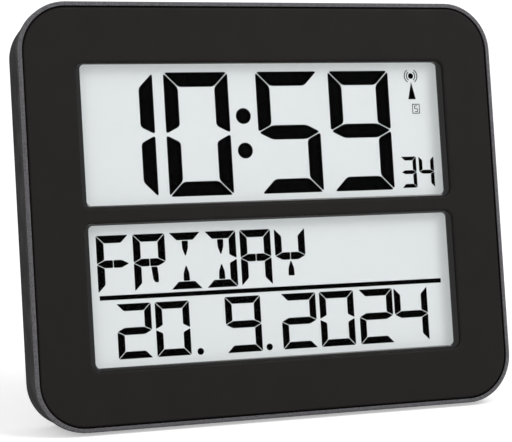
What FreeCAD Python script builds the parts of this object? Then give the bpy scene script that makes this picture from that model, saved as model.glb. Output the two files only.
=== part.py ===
import FreeCAD, Part
import math
import os
import re

import Sketcher
from FreeCAD import Placement, Rotation, Vector

# Dementia day clock, in millimetres.
# Every sub-part is drawn in the clock's own upright frame: X to the viewer's right, Y to the back,
# Z up, with the origin in the middle of the front face. At the end all of them share one placement,
# which leans the clock back on its stand and puts the origin under the middle of its bounding box.

SIZES = {
    # Case, measured over the rim
    "case_width": 225.0,
    "case_height": 185.0,
    "case_depth": 28.0,
    "corner_radius": 22.0,
    "wall": 2.2,
    "side_draft": 5.0,
    "back_edge_radius": 2.0,
    "lean_angle": 9.8,
    "standing_flat": 8.0,
    # Front frame
    "frame_edge": 3.6,
    "rim_width": 1.8,
    "rim_facet_width": 0.85,
    "rim_facet_drop": 0.45,
    "parting_gap": 0.35,
    "parting_step": 0.3,
    "skirt_depth": 5.0,
    "skirt_wall": 1.4,
    "skirt_gap": 0.25,
    # Face panel and its two windows
    "face_thickness": 2.0,
    "face_gap": 0.45,
    "window_border": 24.9,
    "time_window_height": 62.7,
    "date_window_height": 63.2,
    "window_bar": 6.8,
    "bar_drop": 0.3,
    "window_radius": 4.0,
    "window_lip": 1.3,
    # Clear panes
    "pane_thickness": 1.4,
    "pane_margin": 2.2,
    "pane_gap": 0.15,
    "pane_seal": 0.05,
    # Carrier of the two liquid crystal displays
    "display_depth": 6.0,
    "lip_wall": 1.2,
    "holder_plate": 1.4,
    "holder_wall": 1.4,
    "holder_depth": 3.0,
    "display_gap": 0.3,
    "ear_reach": 4.0,
    "ear_radius": 3.2,
    "ear_thickness": 1.4,
    "ear_height": 60.0,
    "pilot_floor": 0.6,
    # Half of the short straight that stays in the middle of a round end
    "round_end_flat": 0.01,
    # Displays
    "film_thickness": 0.2,
    "film_margin": 1.0,
    "glass_thickness": 1.1,
    "glass_margin": 2.0,
    "glass_corner": 0.5,
    "glass_ledge": 2.3,
    "strip_width": 1.8,
    "strip_length": 100.0,
    # Main board
    "board_front": 10.4,
    "board_thickness": 1.6,
    "board_width": 120.0,
    "board_height": 44.6,
    "board_drop": 4.6,
    "board_corner": 1.5,
    "board_screw_inset": 6.0,
    "board_boss_radius": 3.0,
    "board_parts_inset": 9.2,
    "chip_cap_radius": 6.5,
    "chip_cap_height": 1.6,
    "chip_cap_round": 1.1,
    "chip_cap_offset": 30.0,
    "crystal_radius": 1.1,
    "crystal_length": 6.0,
    "capacitor_radius": 2.5,
    "capacitor_height": 7.0,
    "capacitor_round": 0.4,
    "capacitor_offset": 30.0,
    "capacitor_pitch": 7.5,
    # Switches and rear buttons
    "switch_width": 6.0,
    "switch_height": 3.5,
    "switch_round": 0.5,
    "plunger_radius": 1.75,
    "plunger_proud": 0.8,
    "plunger_depth": 1.6,
    "plunger_gap": 0.08,
    "button_radius": 4.0,
    "button_proud": 0.8,
    "button_gap": 0.25,
    "button_round": 0.3,
    "flange_margin": 1.2,
    "flange_thickness": 1.2,
    "flange_gap": 0.1,
    "stem_radius": 2.0,
    "button_travel": 0.6,
    "button_pitch": 16.0,
    "button_rise": 18.0,
    # Battery bay, cells and door
    "cell_radius": 7.25,
    "cell_length": 50.5,
    "nub_radius": 2.6,
    "nub_length": 1.2,
    "cell_gap": 0.3,
    "cell_round": 0.6,
    "bay_drop": 22.0,
    "bay_wall": 1.4,
    "bay_corner": 1.0,
    "spring_length": 5.6,
    "spring_wire": 0.35,
    "spring_wide": 5.2,
    "spring_narrow": 3.4,
    "spring_turns": 4.0,
    "contact_thickness": 0.4,
    "contact_width": 11.0,
    "tag_width": 3.0,
    "tag_reach": 2.5,
    "tag_gap": 0.2,
    "door_thickness": 1.6,
    "door_ledge": 1.2,
    "door_gap": 0.25,
    "door_corner": 2.0,
    "hook_width": 8.0,
    "hook_offset": 18.0,
    "hook_thickness": 1.2,
    "hook_drop": 2.4,
    "hook_reach": 1.7,
    "hook_play": 0.5,
    "hook_swing": 1.6,
    "tongue_width": 12.0,
    "tongue_length": 9.0,
    "tongue_slit": 1.0,
    "ridge_start": 3.15,
    "ridge_pitch": 1.8,
    "ridge_width": 0.5,
    "ridge_depth": 0.3,
    "ridge_inset": 1.5,
    # Stand leg
    "leg_width": 56.0,
    "leg_bay_gap": 4.85,
    "leg_thickness": 3.2,
    "leg_gap": 0.4,
    "leg_rim": 3.0,
    "leg_web": 1.4,
    "pocket_round": 1.0,
    "barrel_radius": 2.2,
    "pivot_radius": 1.5,
    "pivot_gap": 0.06,
    "pivot_reach": 1.3,
    "pivot_inset": 3.2,
    "pivot_rise": 15.5,
    "thumb_radius": 9.0,
    # Hanger keyhole
    "hanger_radius": 4.5,
    "hanger_slot": 2.2,
    "hanger_lift": 9.0,
    "hanger_inset": 35.5,
    "hanger_margin": 1.0,
    "hanger_room": 5.5,
    "hanger_side": 7.0,
    # Radio time receiver and its antenna
    "rod_radius": 4.0,
    "rod_length": 80.0,
    "rod_offset": 45.0,
    "rod_inset": 14.5,
    "rod_depth": 15.0,
    "rod_gap": 0.1,
    "coil_radius": 5.5,
    "coil_length": 30.0,
    "saddle_offset": 28.0,
    "saddle_width": 3.0,
    "saddle_height": 12.0,
    "receiver_width": 26.0,
    "receiver_height": 18.0,
    "receiver_thickness": 1.2,
    "receiver_side_inset": 34.5,
    "receiver_top_inset": 46.5,
    "receiver_corner": 0.75,
    "receiver_front": 14.8,
    "receiver_screw_inset": 3.5,
    "chip_width": 6.0,
    "chip_length": 9.0,
    "chip_height": 1.6,
    "chip_round": 0.5,
    # Leads
    "lead_radius": 0.7,
    "fine_lead_radius": 0.4,
    "lead_pitch": 1.8,
    "lead_loop": 3.5,
    "solder_inset": 4.0,
    # Screws
    "case_screw_inset": 13.5,
    "side_screw_inset": 9.5,
    "case_screw_radius": 1.4,
    "case_screw_length": 13.0,
    "case_head_radius": 2.9,
    "case_head_height": 2.0,
    "case_head_gap": 0.5,
    "case_head_sink": 8.0,
    "case_boss_depth": 12.0,
    "boss_wall": 1.2,
    "frame_boss_wall": 2.0,
    "small_screw_radius": 0.9,
    "small_screw_length": 5.5,
    "small_head_radius": 1.9,
    "small_head_height": 1.3,
    "screw_gap": 0.05,
    "screw_clearance": 0.2,
    "drive_slot": 0.7,
    "drive_margin": 0.9,
    "drive_depth": 0.6,
}

BUTTONS = ("mode", "set", "up", "down", "signal")
LEG_POCKETS = 3
# How much of the shorter run a lead's bend takes up
SETBACK_SHARE = 0.45
DOOR_RIDGES = 3

document = FreeCAD.newDocument("day_clock")
sheet = document.addObject("Spreadsheet::Sheet", "Sizes")
for row, (alias, number) in enumerate(SIZES.items(), start=1):
    sheet.set("A%d" % row, alias)
    sheet.set("B%d" % row, str(number))
    sheet.setAlias("B%d" % row, alias)
document.recompute()


# Depths and heights that several sub-parts share, as formulas of the sheet's sizes

WINDOW_WIDTH = "(case_width - 2 * window_border)"
TIME_LOW = "(-bar_drop + window_bar / 2)"
TIME_HIGH = "(-bar_drop + window_bar / 2 + time_window_height)"
DATE_HIGH = "(-bar_drop - window_bar / 2)"
DATE_LOW = "(-bar_drop - window_bar / 2 - date_window_height)"
TIME_MIDDLE = "(-bar_drop + window_bar / 2 + time_window_height / 2)"
DATE_MIDDLE = "(-bar_drop - window_bar / 2 - date_window_height / 2)"

FACE_RADIUS = "(corner_radius - rim_width)"
COVER_FRONT = "(frame_edge + parting_gap)"
BACK_INSIDE = "(case_depth - wall)"
PANE_BACK = "(face_thickness + pane_thickness)"
HOLDER_BACK = "(display_depth + holder_depth)"
EAR_FRONT = "(display_depth + holder_depth - ear_thickness)"
CELL_FRONT = "(display_depth + film_thickness)"
CELL_LEDGE = "(display_depth + film_thickness + glass_thickness)"
CELL_BACK = "(display_depth + film_thickness + 2 * glass_thickness)"
BOARD_BACK = "(board_front + board_thickness)"
BOARD_MIDDLE = "(board_height / 2 - board_drop)"
BOARD_PARTS_RISE = "(board_height - board_drop - board_parts_inset)"
SWITCH_BACK = "(board_front + board_thickness + switch_height)"
RECEIVER_BACK = "(receiver_front + receiver_thickness)"

HOLDER_SIDE = "(case_width / 2 - window_border + glass_margin + display_gap + holder_wall)"
HOLDER_TOP = "(%s + glass_margin + display_gap + holder_wall)" % TIME_HIGH
HOLDER_BOTTOM = "(%s - glass_margin - display_gap - holder_wall)" % DATE_LOW

BAY_SIDE = "((cell_length + spring_length + 2 * contact_thickness) / 2)"
BAY_HALF = "(2 * cell_radius + 1.5 * cell_gap)"
BAY_LEDGE = "(case_depth - door_thickness)"
BAY_FLOOR = "(case_depth - door_thickness - 2 * cell_gap - 2 * cell_radius)"
CELL_DEPTH = "(case_depth - door_thickness - cell_gap - cell_radius)"
CELL_RISE = "(cell_radius + cell_gap / 2)"
DOOR_TOP = "(-bay_drop + %s + door_ledge - door_gap)" % BAY_HALF
DOOR_BOTTOM = "(-bay_drop - %s - door_ledge + door_gap)" % BAY_HALF
DOOR_PIVOT = "(%s - door_thickness / 2)" % DOOR_TOP

PIVOT_DEPTH = "(case_depth - pivot_inset)"
PIVOT_DROP = "(case_height / 2 - pivot_rise)"
LEG_LENGTH = ("(case_height / 2 - pivot_rise - leg_thickness / 2 - leg_gap - leg_bay_gap"
              " - bay_drop - door_ledge - %s)" % BAY_HALF)
RECESS_SIDE = "(leg_width / 2 + leg_gap)"
RECESS_FLOOR = "(case_depth - pivot_inset - barrel_radius - leg_gap)"
RECESS_TOP = "(-%s + %s + leg_thickness / 2 + leg_gap)" % (PIVOT_DROP, LEG_LENGTH)
RECESS_BOTTOM = "(-%s - barrel_radius - leg_gap)" % PIVOT_DROP

HANGER_RISE = "(case_height / 2 - hanger_inset)"
ROD_RISE = "(case_height / 2 - rod_inset)"
RECEIVER_OFFSET = "(case_width / 2 - receiver_side_inset)"
RECEIVER_RISE = "(case_height / 2 - receiver_top_inset)"
SCREW_OFFSET = "(case_width / 2 - case_screw_inset)"
SCREW_RISE = "(case_height / 2 - case_screw_inset)"
SIDE_SCREW_OFFSET = "(case_width / 2 - side_screw_inset)"

FLAT_DEPTH = "(case_depth - standing_flat)"
FLAT_RISE = ("(-case_height / 2 + parting_step"
             " + (case_depth - standing_flat - frame_edge - parting_gap) * tan(side_draft))")


def bound(formula):
    """The formula with every size written as a reference to its cell in the sheet."""
    return re.sub(r"[a-z_]+[a-z0-9_]*",
                  lambda word: "Sizes." + word.group() if word.group() in SIZES else word.group(), formula)


def value(formula):
    """The formula worked out with the sheet's present numbers."""
    result = sheet.evalExpression(bound(formula))
    return float(getattr(result, "Value", result))


def corners(x, z):
    """The four points at plus and minus x, plus and minus z."""
    return [("%s%s" % (side, x), "%s%s" % (level, z)) for side in ("", "-") for level in ("", "-")]


def dimension(sketch, constraint, formula):
    """Add a constraint to the sketch and bind its value to the sheet."""
    index = sketch.addConstraint(constraint)
    sketch.setExpression("Constraints[%d]" % index, bound(formula))


def rounded(width, height, radius, x="0", z="0"):
    """An outline: a rectangle about (x, z) with four round corners."""
    def draw(sketch):
        wide, high, r = value(width) / 2, value(height) / 2, value(radius)
        middle_x, middle_z = value(x), value(z)
        left, right = middle_x - wide, middle_x + wide
        low, high = middle_z - high, middle_z + high
        first = sketch.GeometryCount
        turns = ((right - r, low + r), (right - r, high - r), (left + r, high - r), (left + r, low + r))
        starts = ((left + r, low), (right, low + r), (right - r, high), (left, high - r))
        ends = ((right - r, low), (right, high - r), (left + r, high), (left, low + r))
        for index in range(4):
            sketch.addGeometry(Part.LineSegment(Vector(*starts[index]), Vector(*ends[index])), False)
            circle = Part.Circle(Vector(*turns[index]), Vector(0, 0, 1), r)
            start = (index - 1) * math.pi / 2
            sketch.addGeometry(Part.ArcOfCircle(circle, start, start + math.pi / 2), False)
        rules = [Sketcher.Constraint("Tangent", first + side, 2, first + (side + 1) % 8, 1)
                 for side in range(8)]
        rules += [Sketcher.Constraint("Horizontal", first), Sketcher.Constraint("Horizontal", first + 4)]
        rules += [Sketcher.Constraint("Vertical", first + 2), Sketcher.Constraint("Vertical", first + 6)]
        rules += [Sketcher.Constraint("Equal", first + 1, first + turn) for turn in (3, 5, 7)]
        sketch.addConstraint(rules)
        dimension(sketch, Sketcher.Constraint("Radius", first + 1, r), radius)
        dimension(sketch, Sketcher.Constraint("DistanceX", -1, 1, first + 6, 1, left),
                  "(%s) - (%s) / 2" % (x, width))
        dimension(sketch, Sketcher.Constraint("DistanceX", -1, 1, first + 2, 1, right),
                  "(%s) + (%s) / 2" % (x, width))
        dimension(sketch, Sketcher.Constraint("DistanceY", -1, 1, first, 1, low),
                  "(%s) - (%s) / 2" % (z, height))
        dimension(sketch, Sketcher.Constraint("DistanceY", -1, 1, first + 4, 1, high),
                  "(%s) + (%s) / 2" % (z, height))
    return draw


def disc(radius, x="0", z="0"):
    """An outline: a circle about (x, z)."""
    def draw(sketch):
        centre = Vector(value(x), value(z))
        index = sketch.addGeometry(Part.Circle(centre, Vector(0, 0, 1), value(radius)), False)
        dimension(sketch, Sketcher.Constraint("Radius", index, value(radius)), radius)
        dimension(sketch, Sketcher.Constraint("DistanceX", -1, 1, index, 3, centre.x), x)
        dimension(sketch, Sketcher.Constraint("DistanceY", -1, 1, index, 3, centre.y), z)
    return draw


def polygon(*points):
    """An outline: straight sides through the points, each a pair of formulas."""
    def draw(sketch):
        places = [Vector(value(x), value(z)) for x, z in points]
        first = sketch.GeometryCount
        for index, place in enumerate(places):
            sketch.addGeometry(Part.LineSegment(place, places[(index + 1) % len(places)]), False)
        for index, (x, z) in enumerate(points):
            side = first + index
            last = first + (index - 1) % len(points)
            sketch.addConstraint(Sketcher.Constraint("Coincident", last, 2, side, 1))
            dimension(sketch, Sketcher.Constraint("DistanceX", -1, 1, side, 1, places[index].x), x)
            dimension(sketch, Sketcher.Constraint("DistanceY", -1, 1, side, 1, places[index].y), z)
    return draw


def rectangle(left, right, low, high):
    """An outline: a rectangle between two sides and two levels."""
    return polygon((left, low), (right, low), (right, high), (left, high))


class Piece:
    """One sub-part: a body whose outlines are padded and cut along the clock's depth or width."""

    def __init__(self, label):
        self.body = document.addObject("PartDesign::Body", label)
        self.body.Label = label
        self.body.AllowCompound = True

    def sketch(self, role, offset, outlines):
        """A sketch of the outlines on one of the body's origin planes, moved by the offset."""
        plane = [feature for feature in self.body.Origin.OriginFeatures if feature.Role == role][0]
        sketch = self.body.newObject("Sketcher::SketchObject", self.body.Name + "_outline")
        sketch.AttachmentSupport = (plane, [""])
        sketch.MapMode = "FlatFace"
        sketch.setExpression("AttachmentOffset.Base.z", bound(offset))
        for outline in outlines:
            outline(sketch)
        return sketch

    def feature(self, kind, sketch, length, taper=None):
        """A pad or pocket of the sketch."""
        feature = self.body.newObject("PartDesign::" + kind, self.body.Name + "_" + kind.lower())
        feature.Profile = sketch
        feature.setExpression("Length", bound(length))
        if taper is not None:
            feature.setExpression("TaperAngle", bound(taper))
        return feature

    def pad(self, front, back, *outlines, taper=None):
        """Solid between two depths."""
        sketch = self.sketch("XZ_Plane", "-(%s)" % front, outlines)
        feature = self.feature("Pad", sketch, "(%s) - (%s)" % (back, front), taper)
        feature.Reversed = True
        return feature

    def cut(self, front, back, *outlines, taper=None):
        """Remove what lies inside the outlines between two depths."""
        sketch = self.sketch("XZ_Plane", "-(%s)" % front, outlines)
        return self.feature("Pocket", sketch, "(%s) - (%s)" % (back, front), taper)

    def pad_across(self, left, right, *outlines):
        """Solid between two places along X, from outlines in (Y, Z)."""
        sketch = self.sketch("YZ_Plane", left, outlines)
        return self.feature("Pad", sketch, "(%s) - (%s)" % (right, left))

    def cut_across(self, left, right, *outlines):
        """Remove what lies inside the outlines, in (Y, Z), between two places along X."""
        sketch = self.sketch("YZ_Plane", left, outlines)
        feature = self.feature("Pocket", sketch, "(%s) - (%s)" % (right, left))
        feature.Reversed = True
        return feature

    def cut_down(self, top, depth, *outlines):
        """Remove what lies inside the outlines, in (X, Y), down from a height."""
        return self.feature("Pocket", self.sketch("XY_Plane", top, outlines), depth)

    def edges(self, wanted):
        """Names of the present solid's edges for which the test holds."""
        document.recompute()
        return ["Edge%d" % (index + 1) for index, edge in enumerate(self.body.Tip.Shape.Edges)
                if wanted(edge)]

    def facet(self, width, drop, wanted):
        """Slope a strip of the given width along the chosen edges of the front, down by the drop."""
        names = self.edges(wanted)
        base = self.body.Tip
        feature = self.body.newObject("PartDesign::Chamfer", self.body.Name + "_facet")
        feature.Base = (base, names)
        feature.ChamferType = "Two distances"
        feature.setExpression("Size", bound(drop))
        feature.setExpression("Size2", bound(width))
        return feature

    def fillet(self, radius, wanted):
        """Round the chosen edges."""
        names = self.edges(wanted)
        base = self.body.Tip
        feature = self.body.newObject("PartDesign::Fillet", self.body.Name + "_round")
        feature.Base = (base, names)
        feature.setExpression("Radius", bound(radius))
        return feature


def at_depth(formula):
    """A test for edges that lie wholly at one depth."""
    depth = value(formula)
    return lambda edge: max(abs(edge.BoundBox.YMin - depth), abs(edge.BoundBox.YMax - depth)) < 1e-4


def both(first, second):
    """A test that holds where both tests hold."""
    return lambda edge: first(edge) and second(edge)


WINDOWS = {
    "time": (TIME_MIDDLE, "time_window_height", TIME_LOW, TIME_HIGH, 1),
    "date": (DATE_MIDDLE, "date_window_height", DATE_LOW, DATE_HIGH, -1),
}


def window_outline(which, margin):
    """The outline of a window, made larger all round by the margin."""
    middle, height = WINDOWS[which][:2]
    return rounded("%s + 2 * (%s)" % (WINDOW_WIDTH, margin), "%s + 2 * (%s)" % (height, margin),
                   "window_radius + (%s)" % margin, "0", middle)


def windows(margin):
    """Both windows' outlines."""
    return [window_outline(which, margin) for which in WINDOWS]


EARS = (corners("(%s + ear_reach)" % HOLDER_SIDE, "ear_height")
        + [("0", "(%s + ear_reach)" % HOLDER_TOP), ("0", "(%s - ear_reach)" % HOLDER_BOTTOM)])
CASE_SCREWS = (corners(SCREW_OFFSET, SCREW_RISE)
               + [(SIDE_SCREW_OFFSET, "0"), ("-" + SIDE_SCREW_OFFSET, "0")])
BOARD_SCREWS = [(x, z) for x in ("board_width / 2 - board_screw_inset", "board_screw_inset - board_width / 2")
                for z in ("board_height - board_drop - board_screw_inset", "board_screw_inset - board_drop")]
RECEIVER_SCREWS = [("-%s %s (receiver_width / 2 - receiver_screw_inset)" % (RECEIVER_OFFSET, side),
                    RECEIVER_RISE) for side in ("+", "-")]
BUTTON_PLACES = {name: "(%d * button_pitch)" % (index - (len(BUTTONS) - 1) // 2)
                 for index, name in enumerate(BUTTONS)}


def discs(radius, places):
    """One circle at each place."""
    return [disc(radius, x, z) for x, z in places]


def make_front_frame():
    """The moulded front: rim, deck behind the face panel, skirt, screw bosses and holder posts."""
    frame = Piece("front_frame")
    frame.pad("0", "frame_edge", rounded("case_width", "case_height", "corner_radius"))
    frame.facet("rim_facet_width", "rim_facet_drop", at_depth("0"))
    frame.cut("0", "face_thickness",
              rounded("case_width - 2 * rim_width", "case_height - 2 * rim_width", FACE_RADIUS))
    inset = "(parting_step + wall + skirt_gap + skirt_depth * tan(side_draft))"
    frame.pad("frame_edge", "frame_edge + skirt_depth",
              rounded("case_width - 2 * %s" % inset, "case_height - 2 * %s" % inset,
                      "corner_radius - %s" % inset),
              rounded("case_width - 2 * (%s + skirt_wall)" % inset,
                      "case_height - 2 * (%s + skirt_wall)" % inset,
                      "corner_radius - %s - skirt_wall" % inset))
    frame.pad("frame_edge", EAR_FRONT, *discs("ear_radius", EARS))
    frame.pad("frame_edge", "case_boss_depth",
              *discs("case_screw_radius + screw_gap + frame_boss_wall", CASE_SCREWS))
    frame.cut("face_thickness", "frame_edge", *windows("pane_margin + pane_gap"))
    frame.cut("face_thickness + pilot_floor", EAR_FRONT, *discs("small_screw_radius + screw_gap", EARS))
    frame.cut("frame_edge", "case_boss_depth", *discs("case_screw_radius + screw_gap", CASE_SCREWS))
    return frame


def make_face_panel():
    """The flat panel inside the rim, with a rounded lip round each window."""
    panel = Piece("face_panel")
    inset = "(rim_width + face_gap)"
    panel.pad("0", "face_thickness",
              rounded("case_width - 2 * %s" % inset, "case_height - 2 * %s" % inset,
                      "corner_radius - %s" % inset))
    panel.cut("0", "face_thickness", *windows("0"))
    inside = value("case_width / 2 - window_border / 2")
    panel.fillet("window_lip", both(at_depth("0"), lambda edge: abs(edge.BoundBox.XMax) < inside))
    return panel


def make_pane(which):
    """The clear pane bonded behind one window."""
    pane = Piece("%s_window" % which)
    pane.pad("face_thickness", PANE_BACK, window_outline(which, "pane_margin"))
    return pane


def display_outline(which, margin, ledge="0"):
    """A rectangle behind one window, shortened by the ledge on the side where the two windows meet."""
    low, high, side = WINDOWS[which][2:]
    bottom = "(%s - (%s) + %s)" % (low, margin, ledge if side > 0 else "0")
    top = "(%s + (%s) - %s)" % (high, margin, ledge if side < 0 else "0")
    return rounded("%s + 2 * (%s)" % (WINDOW_WIDTH, margin), "%s - %s" % (top, bottom), "glass_corner",
                   "0", "(%s + %s) / 2" % (top, bottom))


def make_display(which):
    """One liquid crystal display: front polariser, stepped glass cell and rear reflector."""
    polariser = Piece("%s_lcd_polariser" % which)
    polariser.pad("display_depth", CELL_FRONT, display_outline(which, "film_margin"))
    glass = Piece("%s_lcd_glass" % which)
    glass.pad(CELL_FRONT, CELL_LEDGE, display_outline(which, "glass_margin"))
    glass.pad(CELL_LEDGE, CELL_BACK, display_outline(which, "glass_margin", "glass_ledge"))
    reflector = Piece("%s_lcd_reflector" % which)
    reflector.pad(CELL_BACK, "%s + film_thickness" % CELL_BACK,
                  display_outline(which, "film_margin", "glass_ledge"))
    return [polariser, glass, reflector]


def make_strip(which):
    """The conductive rubber strip between one glass cell's ledge and the main board."""
    strip = Piece("%s_connector_strip" % which)
    low, high, side = WINDOWS[which][2:]
    spare = "(glass_ledge - strip_width) / 2"
    if side > 0:
        middle = "(%s - glass_margin + %s + strip_width / 2)" % (low, spare)
    else:
        middle = "(%s + glass_margin - %s - strip_width / 2)" % (high, spare)
    strip.pad(CELL_LEDGE, "board_front",
              rectangle("-strip_length / 2", "strip_length / 2",
                        "%s - strip_width / 2" % middle, "%s + strip_width / 2" % middle))
    return strip


def make_holder():
    """The carrier: a plate with a lip round each window, a pocket for each display and six ears."""
    holder = Piece("lcd_holder")
    holder.pad("display_depth - holder_plate", HOLDER_BACK,
               rounded("2 * %s" % HOLDER_SIDE, "%s - %s" % (HOLDER_TOP, HOLDER_BOTTOM),
                       "holder_wall + glass_corner", "0", "(%s + %s) / 2" % (HOLDER_TOP, HOLDER_BOTTOM)))
    side_ears = []
    for x, z in EARS[:4]:
        sign = "-" if x.startswith("-") else ""
        side_ears.append(rounded("ear_reach + ear_radius + holder_wall / 2", "2 * ear_radius",
                                 "ear_radius - round_end_flat",
                                 "%s(%s + (ear_reach + ear_radius - holder_wall / 2) / 2)"
                                 % (sign, HOLDER_SIDE), z))
    top_ear = rounded("2 * ear_radius", "ear_reach + ear_radius + holder_wall / 2",
                      "ear_radius - round_end_flat",
                      "0", "%s + (ear_reach + ear_radius - holder_wall / 2) / 2" % HOLDER_TOP)
    bottom_ear = rounded("2 * ear_radius", "ear_reach + ear_radius + holder_wall / 2",
                         "ear_radius - round_end_flat",
                         "0", "%s - (ear_reach + ear_radius - holder_wall / 2) / 2" % HOLDER_BOTTOM)
    holder.pad(EAR_FRONT, HOLDER_BACK, *side_ears, top_ear, bottom_ear)
    holder.pad("%s + pane_seal" % PANE_BACK, "display_depth - holder_plate", *windows("lip_wall"))
    holder.cut("display_depth", HOLDER_BACK,
               *[display_outline(which, "glass_margin + display_gap") for which in WINDOWS])
    holder.cut("%s + pane_seal" % PANE_BACK, "display_depth", *windows("0"))
    holder.cut(EAR_FRONT, HOLDER_BACK, *discs("small_screw_radius + screw_clearance", EARS))
    return holder


def make_board():
    """The main board with its four screw holes."""
    board = Piece("main_board")
    board.pad("board_front", BOARD_BACK,
              rounded("board_width", "board_height", "board_corner", "0", BOARD_MIDDLE))
    board.cut("board_front", BOARD_BACK, *discs("small_screw_radius + screw_clearance", BOARD_SCREWS))
    return board


def make_board_parts():
    """The driver chip's resin cap, the crystal, the capacitors and the five switch bodies."""
    cap = Piece("driver_chip_cap")
    cap.pad(BOARD_BACK, "%s + chip_cap_height" % BOARD_BACK,
            disc("chip_cap_radius", "-chip_cap_offset", BOARD_PARTS_RISE))
    cap.fillet("chip_cap_round", at_depth("%s + chip_cap_height" % BOARD_BACK))
    crystal = Piece("quartz_crystal")
    crystal.pad_across("-crystal_length / 2", "crystal_length / 2",
                       disc("crystal_radius", "%s + crystal_radius" % BOARD_BACK, BOARD_PARTS_RISE))
    capacitors = Piece("capacitors")
    capacitors.pad(BOARD_BACK, "%s + capacitor_height" % BOARD_BACK,
                   *discs("capacitor_radius",
                          [("capacitor_offset", BOARD_PARTS_RISE),
                           ("capacitor_offset + capacitor_pitch", BOARD_PARTS_RISE)]))
    capacitors.fillet("capacitor_round", at_depth("%s + capacitor_height" % BOARD_BACK))
    switches = Piece("switch_bodies")
    switches.pad(BOARD_BACK, SWITCH_BACK,
                 *[rounded("switch_width", "switch_width", "switch_round", x, "button_rise")
                   for x in BUTTON_PLACES.values()])
    switches.cut("%s - plunger_depth - button_travel" % SWITCH_BACK, SWITCH_BACK,
                 *discs("plunger_radius + plunger_gap",
                        [(x, "button_rise") for x in BUTTON_PLACES.values()]))
    return [cap, crystal, capacitors, switches]


def make_button(name):
    """One rear button with its flange and long stem, and the switch plunger that it presses."""
    x = BUTTON_PLACES[name]
    button = Piece("button_%s" % name)
    flange_back = "(%s - flange_gap)" % BACK_INSIDE
    button.pad("%s + plunger_proud" % SWITCH_BACK, flange_back, disc("stem_radius", x, "button_rise"))
    button.pad("%s - flange_thickness" % flange_back, flange_back,
               disc("button_radius + flange_margin", x, "button_rise"))
    button.pad(flange_back, "case_depth + button_proud", disc("button_radius", x, "button_rise"))
    button.fillet("button_round", at_depth("case_depth + button_proud"))
    plunger = Piece("switch_plunger_%s" % name)
    plunger.pad("%s - plunger_depth" % SWITCH_BACK, "%s + plunger_proud" % SWITCH_BACK,
                disc("plunger_radius", x, "button_rise"))
    return [button, plunger]


def screws(label, seat, length, radius, head_radius, head_height, places, backwards):
    """A group of screws: shanks, heads and cross slots, with the heads to the back or to the front."""
    group = Piece(label)
    if backwards:
        shank = ("(%s - %s)" % (seat, length), seat)
        head = (seat, "(%s + %s)" % (seat, head_height))
        slot = ("(%s + %s - drive_depth)" % (seat, head_height), head[1])
    else:
        shank = (seat, "(%s + %s)" % (seat, length))
        head = ("(%s - %s)" % (seat, head_height), seat)
        slot = (head[0], "(%s - %s + drive_depth)" % (seat, head_height))
    group.pad(*head, *discs(head_radius, places))
    group.pad(*shank, *discs(radius, places))
    reach = "(%s - drive_margin)" % head_radius
    group.cut(*slot, *[rectangle("%s - %s" % (x, reach), "%s + %s" % (x, reach),
                                 "%s - drive_slot / 2" % z, "%s + drive_slot / 2" % z) for x, z in places])
    group.cut(*slot, *[rectangle("%s - drive_slot / 2" % x, "%s + drive_slot / 2" % x,
                                 "%s - %s" % (z, reach), "%s + %s" % (z, reach)) for x, z in places])
    return group


def make_screws():
    """All the screws, one group for each kind of joint."""
    small = ("small_screw_length", "small_screw_radius", "small_head_radius", "small_head_height")
    return [
        screws("case_screws", "case_depth - case_head_sink", "case_screw_length", "case_screw_radius",
               "case_head_radius", "case_head_height", CASE_SCREWS, True),
        screws("holder_screws", HOLDER_BACK, *small, EARS, True),
        screws("board_screws", "board_front", *small, BOARD_SCREWS, False),
        screws("receiver_screws", "receiver_front", *small, RECEIVER_SCREWS, False),
    ]


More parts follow.
